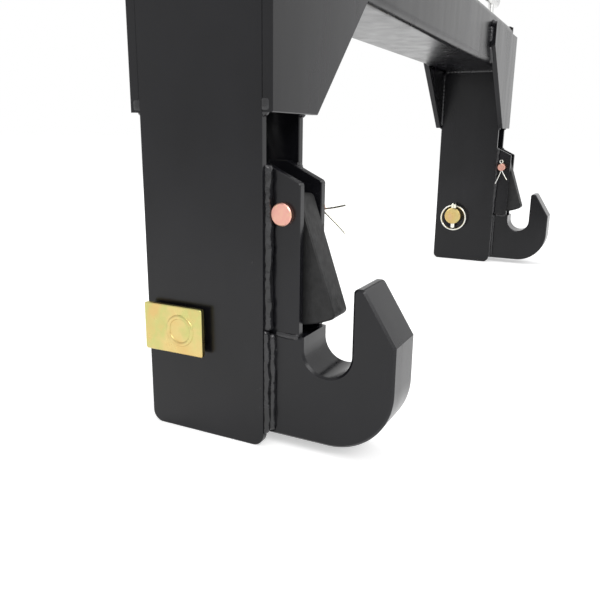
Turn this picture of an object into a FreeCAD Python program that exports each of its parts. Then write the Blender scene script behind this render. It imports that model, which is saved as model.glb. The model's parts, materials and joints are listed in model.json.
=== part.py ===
"""Three point quick hitch: a welded inverted-U frame with two lower hooks, a top hook,
spring-closed latches with pull rods, and pinned sockets for the tractor's three links.

Frame of the part: +Z up, +Y forwards to the tractor, +X to the right seen from the implement.
Origin: on the ground, midway between the legs and midway between hook backs and front gussets.
"""
import FreeCAD, Part
import math
import os
import re

import Sketcher

# ---------------------------------------------------------------- driving dimensions (mm)
SIZES = {
    "Frame": {
        "hook_spacing": (825, "centre to centre of the two legs and lower hooks"),
        "leg_rear": (-7.2, "rear edges of the legs, from the origin along Y"),
        "leg_depth": (101.6, "width of the leg plates, front to back"),
        "plate_thick": (6.35, "leg plate thickness"),
        "plate_gap": (47.5, "clear gap between the two plates of a leg"),
        "foot_round": (9, "corner radius at the foot of a leg plate"),
        "edge_break": (0.6, "small chamfer on cut plate edges"),
        "beam_bottom": (124.1, "underside of the cross beam below the top hook's seat"),
        "beam_height": (76.2, "height of the cross beam tube"),
        "beam_wall": (6.35, "wall of the cross beam tube"),
        "beam_round": (9, "outside corner radius of the beam tube"),
        "gusset_thick": (8, "corner gusset thickness"),
        "gusset_bottom": (31.9, "corner gussets above the ears"),
        "gusset_lip": (8, "gusset overhang past the inner leg plate"),
        "gusset_lap": (25, "height of the gusset's end on the beam face"),
        "gusset_land": (16, "weld land left above a gusset"),
        "gusset_round": (6, "corner radius of a gusset"),
    },
    "Lower hooks": {
        "hook_thick": (40, "lower hook plate thickness"),
        "hook_bottom": (7.5, "underside of the lower hook"),
        "hook_reach": (31.4, "metal behind the hook's throat"),
        "hook_heel": (48, "radius of the hook's heel"),
        "hook_back_top": (37.3, "rise of the slanted back of the hook's tip"),
        "hook_slope": (23.6, "run of the slanted back of the hook's tip"),
        "hook_top": (125.8, "top of the hook's tip"),
        "hook_tip_round": (3.4, "radius on the hook's tip"),
        "hook_edge": (1.6, "chamfer round the hook's two faces"),
        "throat_back": (45.4, "centre of the hook's throat behind the leg"),
        "throat_level": (78.1, "centre of the hook's throat above the ground"),
        "throat_width": (36.8, "width of the hook's mouth"),
        "hook_shoulder": (7.9, "hook's shoulder above the throat's centre"),
        "hook_tang": (26, "length of the hook held between the leg plates"),
    },
    "Latch": {
        "ear_thick": (6.35, "latch ear thickness"),
        "ear_rear": (23.6, "rear edge of the ears behind the leg"),
        "ear_rear_top": (20.9, "top of the ears' rear edge above the pivot"),
        "ear_top": (34.6, "top of the ears above the pivot"),
        "ear_slope_end": (5, "front end of the ears' slanted top"),
        "ear_front": (20, "front edge of the ears"),
        "ear_round": (3, "corner radius of an ear"),
        "pivot_back": (10.8, "latch pivot behind the leg"),
        "pivot_level": (172, "latch pivot above the ground"),
        "pivot_dia": (12.7, "latch pivot pin"),
        "pivot_head_dia": (15.9, "head of the pivot pin"),
        "pivot_head": (4, "head height of the pivot pin"),
        "pivot_tail": (0.35, "gap between the leg plate and the pivot pin's cotter"),
        "latch_thick": (23, "latch pawl thickness"),
        "latch_sweep": (6, "gap between the pawl's foot and the hook's shoulder"),
        "latch_offset": (11.3, "pawl's rear face from the pivot axis"),
        "latch_lean": (19.2, "lean of the pawl's rear face, degrees"),
        "latch_front": (13, "pawl's front face ahead of the pivot"),
        "latch_top": (12.6, "pawl's top above the pivot"),
        "latch_nose_round": (4, "radius of the pawl's nose"),
        "latch_elbow": (6, "radius inside the pawl's elbow"),
        "latch_edge": (1, "chamfer round the pawl's two faces"),
        "tail_below": (10.5, "underside of the pawl's tail below the pivot"),
        "tail_end_wall": (9, "metal beyond the slot in the pawl's tail"),
        "stop_bar": (10, "side of the square bar that stops the pawl's tail"),
        "stop_gap": (0.3, "gap between the tail and the stop bar"),
        "stop_ahead": (1, "gap between the stop bar and the ears' front edge"),
    },
    "Release": {
        "rod_dia": (9.5, "release rod"),
        "rod_ahead": (36, "release rod ahead of the leg's rear"),
        "rod_side": (18.4, "rod's lower end beside the pawl, off the leg's centre"),
        "rod_bend": (8, "bend radius of the rod's centreline"),
        "rod_hook": (20.5, "end of the rod's hooked foot past the leg's centre"),
        "joggle_low": (25, "start of the rod's joggle above the pivot"),
        "joggle_high": (29, "height of the rod's joggle"),
        "slot_play": (0.6, "play of the rod in the tail's slot"),
        "slot_back": (1.2, "slot length behind the rod at rest"),
        "slot_ahead": (4.2, "slot length ahead of the rod at rest"),
        "handle_dia": (11, "bar of the pull handle's loop"),
        "handle_level": (40.8, "foot of the pull handle's loop above the beam"),
        "handle_height": (46, "height of the loop"),
        "handle_width": (96, "width of the loop"),
        "handle_bend": (14, "corner radius of the loop"),
        "grip_dia": (19, "grip sleeve on the loop"),
        "grip_length": (62, "length of the grip sleeve"),
        "guide_dia": (20, "guide bush in the beam"),
        "guide_above": (14, "guide bush standing above the beam"),
        "washer_dia": (24, "spring washer on the rod"),
        "washer_thick": (2.5, "spring washer thickness"),
        "washer_level": (73, "room for the return spring under the beam"),
        "retainer_dia": (3, "spring pin under the washer"),
        "retainer_length": (18, "length of that spring pin"),
        "spring_wire": (2.4, "side of the return spring's square wire"),
        "spring_mean": (17.4, "return spring mean coil diameter"),
        "spring_turns": (7, "turns of the return spring"),
    },
    "Link pins": {
        "link_ahead": (66, "lower link pin ahead of the leg's rear"),
        "link_level": (82.5, "lower link pin above the ground"),
        "link_dia": (28.6, "lower link pin"),
        "link_tail": (20, "lower link pin past the inner leg plate"),
        "flag_standoff": (4.4, "gap between the flag and the leg plate"),
        "flag_thick": (4.2, "flag plate thickness"),
        "flag_length": (52, "flag plate length"),
        "flag_height": (36.5, "flag plate height"),
        "flag_behind": (19.5, "flag's rear edge behind the pin's centre"),
        "flag_round": (1.5, "corner radius of the flag"),
        "plug_dia": (21, "pin's shank in the flag, plug welded"),
        "pin_clear": (0.08, "radial running clearance of a pin in its hole"),
        "pin_chamfer": (1.5, "chamfer on a pin's end"),
        "lynch_dia": (8, "lynch pin shank"),
        "lynch_inset": (8, "lynch pin centre from the end of the pin it holds"),
        "lynch_head_dia": (10, "lynch pin head"),
        "lynch_head": (8, "lynch pin head height"),
        "ring_hole": (4.6, "hole in the lynch pin head for its ring"),
        "ring_wire": (3, "lynch ring wire"),
        "ring_mean": (44, "lynch ring mean diameter"),
        "ring_tip_gap": (1.4, "lynch shank's tip inside the ring"),
        "cotter_wire": (1.5, "cotter wire"),
        "cotter_eye": (2.6, "cotter eye mean radius"),
        "cotter_long": (24, "length of a cotter's longer spread leg"),
        "cotter_short": (18, "length of a cotter's shorter spread leg"),
        "cotter_spread": (26, "angle of each spread leg, degrees"),
        "cotter_slack": (0.2, "play of the cotter in its hole"),
        "cotter_turn_left": (-76, "left cotter's turn about X from hanging down, degrees"),
        "cotter_turn_right": (-5.5, "right cotter's turn about X from hanging down, degrees"),
        "cotter_inset": (4, "cotter from the end of its pin"),
    },
    "Mast": {
        "mast_gap": (54, "gap between the mast plates"),
        "mast_thick": (12.7, "mast plate thickness"),
        "mast_top": (163.8, "height of the mast plates above the beam"),
        "mast_slope_start": (45, "drop of the mast's slanted rear edge"),
        "mast_slope_run": (40, "run of the mast's slanted rear edge"),
        "mast_front_drop": (34, "drop of the mast's slanted front edge"),
        "mast_front_run": (16, "run of the mast's slanted front edge"),
        "mast_round": (12, "corner radius of a mast plate"),
        "top_link_ahead": (72, "top link pin ahead of the leg's rear"),
        "top_link_level": (30, "top link pin below the mast's top"),
        "top_link_pitch": (50, "drop to the second top link hole"),
        "top_link_dia": (25.4, "top link pin"),
        "top_link_head_dia": (38, "head of the top link pin"),
        "top_link_head": (8, "head height of the top link pin"),
        "top_link_tail": (20, "top link pin past the mast plate"),
        "mast_height": (381, "top hook seat above the lower hook seats"),
        "top_hook_thick": (38, "top hook plate thickness"),
        "top_throat_width": (33.4, "width of the top hook's mouth"),
        "top_hook_wall": (33, "metal behind the top hook's throat"),
        "top_hook_heel": (42, "radius of the top hook's heel"),
        "top_hook_rise": (24, "tip of the top hook above its seat centre"),
        "top_hook_slope": (15, "run of the slanted back of the top hook's tip"),
        "top_hook_slope_rise": (26, "rise of that slanted back"),
        "top_hook_front": (38, "front of the top hook's shank ahead of the leg's rear"),
        "top_hook_seat_gap": (2, "gap between the shank and the beam"),
        "top_hook_edge": (1.6, "chamfer round the top hook's two faces"),
        "bolt_ahead": (19, "bolt row ahead of the leg's rear"),
        "bolt_low": (20.8, "lowest bolt hole above the beam"),
        "top_hook_shank": (18.9, "metal above the upper bolt in the top hook's shank"),
        "bolt_pitch": (38.1, "pitch of the bolt row"),
        "bolt_dia": (19.05, "top hook bolts"),
        "bolt_clear": (0.4, "radial clearance of a bolt in its hole"),
        "bolt_flats": (28.6, "across flats of bolt heads and nuts"),
        "bolt_head": (11.9, "height of a bolt head"),
        "nut_height": (16.3, "height of a nut"),
        "bolt_end": (4, "thread past the nut"),
        "shim_dia": (34, "flat washers and spacers on the bolts"),
        "shim_thick": (3.2, "flat washer thickness"),
        "spacer_play": (0.1, "end play of a spacer beside the top hook"),
    },
    "Welds": {
        "weld_root": (3, "depth of a bead between the plates"),
        "hook_weld_toe": (5, "height of a bead on the hook's face"),
        "ear_weld_toe": (2.6, "height of a bead on an ear's face"),
        "weld_cover": (4.2, "width of a bead on the leg plate's edge"),
        "weld_run_out": (2, "bead left short of the hook's underside"),
    },
}

doc = FreeCAD.newDocument("quick_hitch")
sheet = doc.addObject("Spreadsheet::Sheet", "Sizes")
ALIASES = [alias for group in SIZES.values() for alias in group]
ALIAS_WORD = re.compile(r"\b(" + "|".join(ALIASES) + r")\b")


def fill_sheet():
    """Write every driving dimension to the spreadsheet: title, value with its alias, meaning."""
    row = 1
    for title, group in SIZES.items():
        sheet.set(f"A{row}", title)
        row += 1
        for alias, (number, meaning) in group.items():
            sheet.set(f"A{row}", alias)
            sheet.set(f"B{row}", str(number))
            sheet.setAlias(f"B{row}", alias)
            sheet.set(f"C{row}", meaning)
            row += 1
    doc.recompute()


def linked(text):
    """The expression with each alias in it pointing at the spreadsheet."""
    return ALIAS_WORD.sub(r"Sizes.\1", str(text))


def value(text):
    """The number that an expression of aliases gives now."""
    return float(sheet.evalExpression(str(text)))


# ---------------------------------------------------------------- modelling helpers
NODES = []


def place(item, x="0", y="0", z="0"):
    """Bind the item's position to expressions."""
    for axis, text in (("x", x), ("y", y), ("z", z)):
        item.setExpression(f".Placement.Base.{axis}", linked(text))


def node(item, label):
    """Name a finished sub-part: its label is the name of its file."""
    item.Label = label
    NODES.append(item)
    return item


def new_body():
    """An empty PartDesign body."""
    return doc.addObject("PartDesign::Body", "Piece")


def plane_of(body, role):
    """One of the body's own origin planes."""
    return next(plane for plane in body.Origin.OriginFeatures if plane.Role == role)


def new_sketch(body, role, shift="0"):
    """A sketch on one of the body's origin planes, shifted along the plane's normal."""
    sketch = body.newObject("Sketcher::SketchObject", "Sketch")
    sketch.AttachmentSupport = [(plane_of(body, role), "")]
    sketch.MapMode = "FlatFace"
    sketch.setExpression(".AttachmentOffset.Base.z", linked(shift))
    return sketch


def pin_point(sketch, geometry, end, x, y):
    """Hold a point of the sketch at expressions x and y."""
    for kind, text in (("DistanceX", x), ("DistanceY", y)):
        index = sketch.addConstraint(Sketcher.Constraint(kind, -1, 1, geometry, end, value(text)))
        sketch.setExpression(f"Constraints[{index}]", linked(text))


def draw_polygon(sketch, corners):
    """A closed outline of straight sides through the corners."""
    spots = [FreeCAD.Vector(value(x), value(y), 0) for x, y in corners]
    first = sketch.GeometryCount
    count = len(spots)
    for index in range(count):
        sketch.addGeometry(Part.LineSegment(spots[index], spots[(index + 1) % count]), False)
    for index in range(count):
        after = first + (index + 1) % count
        sketch.addConstraint(Sketcher.Constraint("Coincident", first + index, 2, after, 1))
        pin_point(sketch, first + index, 1, *corners[index])


def draw_box(sketch, low_x, high_x, low_y, high_y):
    """A rectangle between four expressions."""
    draw_polygon(sketch, [(low_x, low_y), (high_x, low_y), (high_x, high_y), (low_x, high_y)])


def draw_circle(sketch, x, y, radius):
    """A circle at x, y."""
    centre = FreeCAD.Vector(value(x), value(y), 0)
    circle = sketch.addGeometry(Part.Circle(centre, FreeCAD.Vector(0, 0, 1), value(radius)), False)
    pin_point(sketch, circle, 3, x, y)
    index = sketch.addConstraint(Sketcher.Constraint("Radius", circle, value(radius)))
    sketch.setExpression(f"Constraints[{index}]", linked(radius))


def pad(body, sketch, length):
    """A pad as thick as length, half on each side of the sketch."""
    feature = body.newObject("PartDesign::Pad", "Pad")
    feature.Profile = sketch
    feature.SideType = "Symmetric"
    feature.setExpression("Length", linked(length))
    doc.recompute()
    return feature


def cut_through(body, sketch):
    """A pocket through everything on both sides of the sketch; it must remove metal."""
    before = body.Shape.Volume
    feature = body.newObject("PartDesign::Pocket", "Pocket")
    feature.Profile = sketch
    feature.SideType = "Symmetric"
    feature.Type = "ThroughAll"
    doc.recompute()
    if not body.Shape.Volume < before:
        raise ValueError(f"a pocket in {body.Name} cuts nothing")
    return feature


def revolve(body, sketch, axis):
    """A full turn of the sketch about its H_Axis or V_Axis."""
    feature = body.newObject("PartDesign::Revolution", "Revolution")
    feature.Profile = sketch
    feature.ReferenceAxis = (sketch, [axis])
    feature.Angle = 360
    doc.recompute()
    return feature


def edges_along(shape, axis, corners):
    """Names of straight edges along an axis (0, 1, 2) that pass through 2-D corners."""
    others = [index for index in range(3) if index != axis]
    names = []
    for number, edge in enumerate(shape.Edges, 1):
        if edge.Curve.TypeId != "Part::GeomLine" or abs(edge.Curve.Direction[axis]) < 0.999:
            continue
        spot = edge.CenterOfMass
        if any(math.dist((spot[others[0]], spot[others[1]]), corner) < 0.01 for corner in corners):
            names.append(f"Edge{number}")
    return names


def round_corners(body, axis, corners, radius):
    """Round the edges along an axis at the corners given as expressions."""
    base = body.Tip
    spots = [(value(x), value(y)) for x, y in corners]
    feature = body.newObject("PartDesign::Fillet", "Fillet")
    feature.Base = (base, edges_along(base.Shape, axis, spots))
    feature.setExpression("Radius", linked(radius))
    doc.recompute()
    return feature


def faces_across(shape, axis):
    """Names of the flat faces at the two ends of the shape along an axis."""
    ends = (shape.BoundBox.XMin, shape.BoundBox.YMin, shape.BoundBox.ZMin)[axis]
    other = (shape.BoundBox.XMax, shape.BoundBox.YMax, shape.BoundBox.ZMax)[axis]
    names = []
    for number, face in enumerate(shape.Faces, 1):
        spot = face.CenterOfMass[axis]
        flat = face.Surface.TypeId == "Part::GeomPlane" and abs(face.normalAt(0, 0)[axis]) > 0.999
        if flat and min(abs(spot - ends), abs(spot - other)) < 0.001:
            names.append(f"Face{number}")
    return names


def break_edges(body, axis, size):
    """Chamfer every edge of the two faces that lie across an axis."""
    base = body.Tip
    feature = body.newObject("PartDesign::Chamfer", "Chamfer")
    feature.Base = (base, faces_across(base.Shape, axis))
    feature.setExpression("Size", linked(size))
    doc.recompute()
    return feature


def plate(corners, thickness, role="YZ_Plane"):
    """A body that is one plate: an outline padded to its thickness."""
    body = new_body()
    sketch = new_sketch(body, role)
    draw_polygon(sketch, corners)
    pad(body, sketch, thickness)
    return body


def drill(body, role, x, y, radius):
    """A round hole through the body, square to one of its planes."""
    sketch = new_sketch(body, role)
    draw_circle(sketch, x, y, radius)
    return cut_through(body, sketch)


def primitive(kind, x="0", y="0", z="0", turn=None, **sizes):
    """A Part primitive with bound sizes, at a position, turned by (axis, degrees)."""
    item = doc.addObject(f"Part::{kind}", kind)
    for name, text in sizes.items():
        item.setExpression(name, linked(text))
    if turn:
        axis, degrees = turn
        item.Placement.Rotation = FreeCAD.Rotation(FreeCAD.Vector(*axis), degrees)
    place(item, x, y, z)
    return item


def turn_about_x(item, angle):
    """Turn a placed item about X by an angle kept in the sheet."""
    item.Placement.Rotation = FreeCAD.Rotation(FreeCAD.Vector(1, 0, 0), value(angle))


def turned(outline, side="1", plane="XZ_Plane", axis="H_Axis"):
    """A lathe-turned body: half outline of (along, radius) pairs spun about X, or Z with V_Axis."""
    body = new_body()
    sketch = new_sketch(body, plane)
    if axis == "H_Axis":
        corners = [(f"{side} * ({along})", radius) for along, radius in outline]
    else:
        corners = [(radius, along) for along, radius in outline]
    draw_polygon(sketch, corners)
    revolve(body, sketch, axis)
    return body


def ring(outer_radius, bore_radius, length):
    """A plain tube along X: washer, spacer or bush, centred on its own origin."""
    half = f"({length}) / 2"
    return turned([(f"-{half}", bore_radius), (f"-{half}", outer_radius),
                   (half, outer_radius), (half, bore_radius)])


def bent_bar(body, points, bend, radius, closed=False):
    """A round bar swept along straight runs in the XZ plane, joined by tangent arcs.

    The first run goes along X. A closed path ends where it starts, in the middle of a run.
    """
    path = new_sketch(body, "XZ_Plane")
    spots = [FreeCAD.Vector(value(x), value(z), 0) for x, z in points]
    turn_radius = value(bend)
    tangent_in, tangent_out, arcs = [spots[0]], [], []
    for before, corner, after in zip(spots, spots[1:], spots[2:]):
        back = (before - corner).normalize()
        ahead = (after - corner).normalize()
        half_angle = back.getAngle(ahead) / 2
        reach = turn_radius / math.tan(half_angle)
        middle = corner + (back + ahead).normalize() * (turn_radius / math.sin(half_angle))
        start = corner + back * reach
        end = corner + ahead * reach
        left_turn = back.cross(ahead).z < 0
        arcs.append((middle, start, end, left_turn))
        tangent_out.append(start)
        tangent_in.append(end)
    tangent_out.append(spots[-1])
    lines = [path.addGeometry(Part.LineSegment(start, end), False)
             for start, end in zip(tangent_in, tangent_out)]
    for number, (middle, start, end, left_turn) in enumerate(arcs):
        first, last = (start, end) if left_turn else (end, start)
        angles = [math.atan2(spot.y - middle.y, spot.x - middle.x) for spot in (first, last)]
        circle = Part.Circle(middle, FreeCAD.Vector(0, 0, 1), turn_radius)
        arc = path.addGeometry(Part.ArcOfCircle(circle, *angles), False)
        ends = (1, 2) if left_turn else (2, 1)
        path.addConstraint(Sketcher.Constraint("Tangent", lines[number], 2, arc, ends[0]))
        path.addConstraint(Sketcher.Constraint("Tangent", lines[number + 1], 1, arc, ends[1]))
        index = path.addConstraint(Sketcher.Constraint("Radius", arc, turn_radius))
        path.setExpression(f"Constraints[{index}]", linked(bend))
        mark = path.addGeometry(Part.Point(spots[number + 1]), True)
        pin_point(path, mark, 1, *points[number + 1])
        path.addConstraint(Sketcher.Constraint("PointOnObject", mark, 1, lines[number]))
        path.addConstraint(Sketcher.Constraint("PointOnObject", mark, 1, lines[number + 1]))
    pin_point(path, lines[0], 1, *points[0])
    if not closed:
        pin_point(path, lines[-1], 2, *points[-1])
    else:
        path.addConstraint(Sketcher.Constraint("Coincident", lines[-1], 2, lines[0], 1))
    section = new_sketch(body, "YZ_Plane", points[0][0])
    draw_circle(section, "0", points[0][1], radius)
    feature = body.newObject("PartDesign::AdditivePipe", "Pipe")
    feature.Profile = section
    feature.Spine = (path, [])
    doc.recompute()
    return feature


def fuse(items):
    """One solid from several overlapping ones."""
    item = doc.addObject("Part::MultiFuse", "Fusion")
    item.Shapes = items
    item.Refine = True
    doc.recompute()
    return item


def cut(base, tool):
    """The base with the tool taken away."""
    item = doc.addObject("Part::Cut", "Cut")
    item.Base = base
    item.Tool = tool
    doc.recompute()
    return item


def group(items):
    """Several separate solids that share one node."""
    item = doc.addObject("Part::Compound", "Group")
    item.Links = items
    doc.recompute()
    return item


ALONG_X = ((0, 1, 0), 90)
ALONG_Y = ((1, 0, 0), -90)
HOOK_REACH = "(throat_back + throat_width / 2 + hook_reach)"
HOOK_SHOULDER = "(throat_level + hook_shoulder)"
EAR_TOP = "(pivot_level + ear_top)"
LATCH_SWEEP = f"(pivot_level - {HOOK_SHOULDER} - latch_sweep)"
TOP_SEAT = "(throat_level + mast_height)"
BEAM_BOTTOM = f"({TOP_SEAT} - beam_bottom)"
BEAM_TOP = f"({BEAM_BOTTOM} + beam_height)"
GUSSET_BOTTOM = f"({EAR_TOP} + gusset_bottom)"
WASHER_LEVEL = f"({BEAM_BOTTOM} - washer_level)"
HANDLE_LEVEL = f"({BEAM_TOP} + handle_level)"
BOLT_LOW = f"({BEAM_TOP} + bolt_low)"
MAST_TOP = f"({BEAM_TOP} + mast_top)"
TOP_LINK_LEVEL = f"({MAST_TOP} - top_link_level)"
LEG_HALF = "(plate_gap / 2 + plate_thick)"
MAST_HALF = "(mast_gap / 2 + mast_thick)"
COTTER_REACH = f"({LEG_HALF} + pivot_tail + cotter_wire / 2)"


def leg_x(side, offset="0"):
    """X of a place on a leg, offset outwards from the leg's centre; side is -1 or 1."""
    return f"{side} * (hook_spacing / 2 + ({offset}))"


# ---------------------------------------------------------------- frame
def make_leg_plate(label, side, outer):
    """A flat leg plate with the lower link pin's hole; the outer one runs to the beam's top."""
    top = BEAM_TOP if outer else BEAM_BOTTOM
    foot = [("0", "0"), ("leg_depth", "0")]
    body = plate(foot + [("leg_depth", top), ("0", top)], "plate_thick")
    round_corners(body, 0, foot, "foot_round")
    drill(body, "YZ_Plane", "link_ahead", "link_level", "link_dia / 2 + pin_clear")
    break_edges(body, 0, "edge_break")
    reach = "plate_gap / 2 + plate_thick / 2"
    place(body, leg_x(side, reach if outer else f"-({reach})"), "leg_rear")
    return node(body, label)


def make_cross_beam():
    """Rectangular tube between the outer leg plates, with a hole at each end for the rod guides."""
    body = new_body()
    outside = [("0", "0"), ("leg_depth", "0"), ("leg_depth", "beam_height"), ("0", "beam_height")]
    sketch = new_sketch(body, "YZ_Plane")
    draw_polygon(sketch, outside)
    length = "hook_spacing + plate_gap"
    pad(body, sketch, length)
    round_corners(body, 0, outside, "beam_round")
    hollow = new_sketch(body, "YZ_Plane")
    draw_box(hollow, "beam_wall", "leg_depth - beam_wall", "beam_wall", "beam_height - beam_wall")
    cut_through(body, hollow)
    inner = [(y, z) for y in ("beam_wall", "leg_depth - beam_wall")
             for z in ("beam_wall", "beam_height - beam_wall")]
    round_corners(body, 0, inner, "max(1; beam_round - beam_wall)")
    holes = new_sketch(body, "XY_Plane")
    for side in (-1, 1):
        draw_circle(holes, leg_x(side), "rod_ahead", "guide_dia / 2")
    cut_through(body, holes)
    place(body, "0", "leg_rear", BEAM_BOTTOM)
    return node(body, "cross_beam")


def make_gusset(label, side, front):
    """Corner plate over the edges of a leg and the face of the beam, cut at 45 degrees."""
    outer = "hook_spacing / 2 + plate_gap / 2 + plate_thick"
    inner = "hook_spacing / 2 - plate_gap / 2 - plate_thick - gusset_lip"
    lap_level = f"{BEAM_BOTTOM} + gusset_lap"
    run = f"({lap_level} - {GUSSET_BOTTOM})"
    top = f"{BEAM_TOP} - gusset_land"
    outline = [(outer, GUSSET_BOTTOM), (inner, GUSSET_BOTTOM),
               (f"{inner} - {run}", lap_level), (f"{inner} - {run}", top), (outer, top)]
    corners = [(f"{side} * ({x})", z) for x, z in outline]
    body = plate(corners, "gusset_thick", "XZ_Plane")
    round_corners(body, 1, [corners[2], corners[3]], "gusset_round")
    break_edges(body, 1, "edge_break")
    offset = "leg_depth + gusset_thick / 2" if front else "-gusset_thick / 2"
    place(body, "0", f"leg_rear + {offset}")
    return node(body, label)


# ---------------------------------------------------------------- lower hooks
def make_lower_hook(label, side):
    """Thick flame-cut hook: round heel, slanted tip and a U throat, its tang between the plates."""
    inner_wall = "-throat_back - throat_width / 2"
    front_wall = "-throat_back + throat_width / 2"
    heel = (f"-{HOOK_REACH}", "hook_bottom")
    tip = [(f"-{HOOK_REACH} + hook_slope", "hook_top"), (inner_wall, "hook_top")]
    body = plate([("hook_tang", "hook_bottom"), heel,
                  (f"-{HOOK_REACH}", "hook_top - hook_back_top"), *tip, (inner_wall, "throat_level"),
                  (front_wall, "throat_level"), (front_wall, HOOK_SHOULDER),
                  ("hook_tang", HOOK_SHOULDER)], "hook_thick")
    drill(body, "YZ_Plane", "-throat_back", "throat_level", "throat_width / 2")
    round_corners(body, 0, [heel], "hook_heel")
    round_corners(body, 0, tip, "min(hook_tip_round; (hook_reach - hook_slope) / 2)")
    break_edges(body, 0, "hook_edge")
    place(body, leg_x(side), "leg_rear")
    return node(body, label)


def make_latch_ears(label, side):
    """The two ears that carry the latch's pivot pin, standing on the hook's shoulder."""
    ears = []
    for face in (-1, 1):
        corners = [("-ear_rear", HOOK_SHOULDER), ("-ear_rear", "pivot_level + ear_rear_top"),
                   ("ear_slope_end", EAR_TOP), ("ear_front", EAR_TOP),
                   ("ear_front", HOOK_SHOULDER)]
        body = plate(corners, "ear_thick")
        round_corners(body, 0, [corners[1]], "ear_round")
        drill(body, "YZ_Plane", "-pivot_back", "pivot_level", "pivot_dia / 2 + pin_clear")
        break_edges(body, 0, "edge_break")
        place(body, leg_x(side, f"{face} * (hook_thick - ear_thick) / 2"), "leg_rear")
        ears.append(body)
    return node(group(ears), label)


def make_stop_bar(label, side):
    """Square bar welded between the leg plates, on which the closed latch's tail rests."""
    top = "(pivot_level - tail_below - stop_gap)"
    bar = primitive("Box", leg_x(side, f"{-side} * plate_gap / 2"),
                    "leg_rear + ear_front + stop_ahead", f"{top} - stop_bar",
                    Length="plate_gap", Width="stop_bar", Height="stop_bar")
    return node(bar, label)


def make_hook_welds(label, side):
    """Fillet beads along the leg plates' rear edges: beside the hook and beside the ears."""
    beads = []
    spans = [("(hook_bottom + weld_run_out)", HOOK_SHOULDER, "hook_weld_toe"),
             (HOOK_SHOULDER, EAR_TOP, "ear_weld_toe")]
    for face in (-1, 1):
        for low, high, toe in spans:
            body = new_body()
            sketch = new_sketch(body, "XY_Plane")
            inner = "hook_thick / 2"
            outer = "plate_gap / 2"
            section = [(inner, "weld_root"), (inner, f"-{toe}"),
                       (f"{outer} + weld_cover", "0"), (outer, "0"), (outer, "weld_root")]
            draw_polygon(sketch, [(f"{face} * ({x})", y) for x, y in section])
            pad(body, sketch, f"{high} - {low}")
            place(body, leg_x(side), "leg_rear", f"({low} + {high}) / 2")
            beads.append(body)
    return node(group(beads), label)


# ---------------------------------------------------------------- latch
def make_latch_pawl(label, side):
    """Pawl: inclined rear face, foot swept about its pivot, slotted tail for the rod's hook."""
    lean = "latch_lean"

    def rear_face(level):
        """Y of the rear face at a level above the pivot."""
        return f"-latch_offset / cos({lean}) + ({level}) * tan({lean})"

    slot = "(pivot_back + rod_ahead)"
    half = "(rod_dia / 2 + slot_play)"
    tail_end = f"{slot} + slot_ahead + {half} + tail_end_wall"
    elbow = ("latch_front", "-tail_below")
    top_rear = (rear_face("latch_top"), "latch_top")
    tail_corners = [(tail_end, "latch_top"), (tail_end, "-tail_below")]
    body = plate([(rear_face(f"-{LATCH_SWEEP}"), f"-{LATCH_SWEEP}"), top_rear, *tail_corners, elbow,
                  ("latch_front", f"-{LATCH_SWEEP}")], "latch_thick")
    foot = new_sketch(body, "YZ_Plane")
    beyond = f"1.5 * {LATCH_SWEEP}"
    draw_box(foot, f"-{beyond}", beyond, f"-{beyond}", beyond)
    draw_circle(foot, "0", "0", LATCH_SWEEP)
    cut_through(body, foot)
    along = f"sqrt({LATCH_SWEEP} ^ 2 - latch_offset ^ 2)"
    nose = (f"-(latch_offset * cos({lean}) + {along} * sin({lean}))",
            f"latch_offset * sin({lean}) - {along} * cos({lean})")
    round_corners(body, 0, [nose, top_rear, *tail_corners], "latch_nose_round")
    round_corners(body, 0, [elbow], "latch_elbow")
    drill(body, "YZ_Plane", "0", "0", "pivot_dia / 2 + pin_clear")
    for end in ("-slot_back", "slot_ahead"):
        drill(body, "YZ_Plane", f"{slot} + {end}", "0", half)
    middle = new_sketch(body, "YZ_Plane")
    draw_box(middle, f"{slot} - slot_back", f"{slot} + slot_ahead", f"-{half}", half)
    cut_through(body, middle)
    break_edges(body, 0, "latch_edge")
    place(body, leg_x(side), "leg_rear - pivot_back", "pivot_level")
    return node(body, label)


def make_pivot_pin(label, side, turn):
    """Headed clevis pin through both ears, drilled for its cotter; the head is on the outside."""
    shank = "pivot_dia / 2"
    end = f"-({COTTER_REACH} + cotter_inset)"
    face = "hook_thick / 2"
    head = "pivot_head_dia / 2"
    tip = "pin_chamfer / 2"
    body = turned([(end, "0"), (end, f"{shank} - {tip}"), (f"{end} + {tip}", shank),
                   (face, shank), (face, head), (f"{face} + pivot_head - {tip}", head),
                   (f"{face} + pivot_head", f"{head} - {tip}"), (f"{face} + pivot_head", "0")],
                  side)
    drill(body, "XY_Plane", f"{side} * ({end} + cotter_inset)", "0",
          "cotter_wire + cotter_slack / 2")
    turn_about_x(body, turn)
    place(body, leg_x(side), "leg_rear - pivot_back", "pivot_level")
    return node(body, label)


def make_cotter(label, side, turn):
    """Split cotter of round wire: an eye, two straight legs through the pin and two spread legs."""
    wire = "cotter_wire / 2"
    apart = f"({wire} + cotter_slack / 4)"
    shank = "pivot_dia / 2"
    eye_level = f"({shank} + cotter_eye + {wire})"
    parts = [primitive("Torus", z=eye_level, turn=ALONG_X, Radius1="cotter_eye", Radius2=wire)]
    for hand, leg in ((-1, "cotter_long"), (1, "cotter_short")):
        straight = f"{eye_level} - cotter_eye + {shank} + cotter_slack"
        knee = f"-({shank} + cotter_slack)"
        parts.append(primitive("Cylinder", "0", f"{hand} * {apart}", knee,
                               Radius=wire, Height=straight))
        slant = ((1, 0, 0), 180 + hand * value("cotter_spread"))
        parts.append(primitive("Cylinder", "0", f"{hand} * {apart}", knee, turn=slant,
                               Radius=wire, Height=leg))
    cotter = fuse(parts)
    turn_about_x(cotter, turn)
    place(cotter, leg_x(side, f"-{COTTER_REACH}"),
          "leg_rear - pivot_back", "pivot_level")
    return node(cotter, label)


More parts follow.
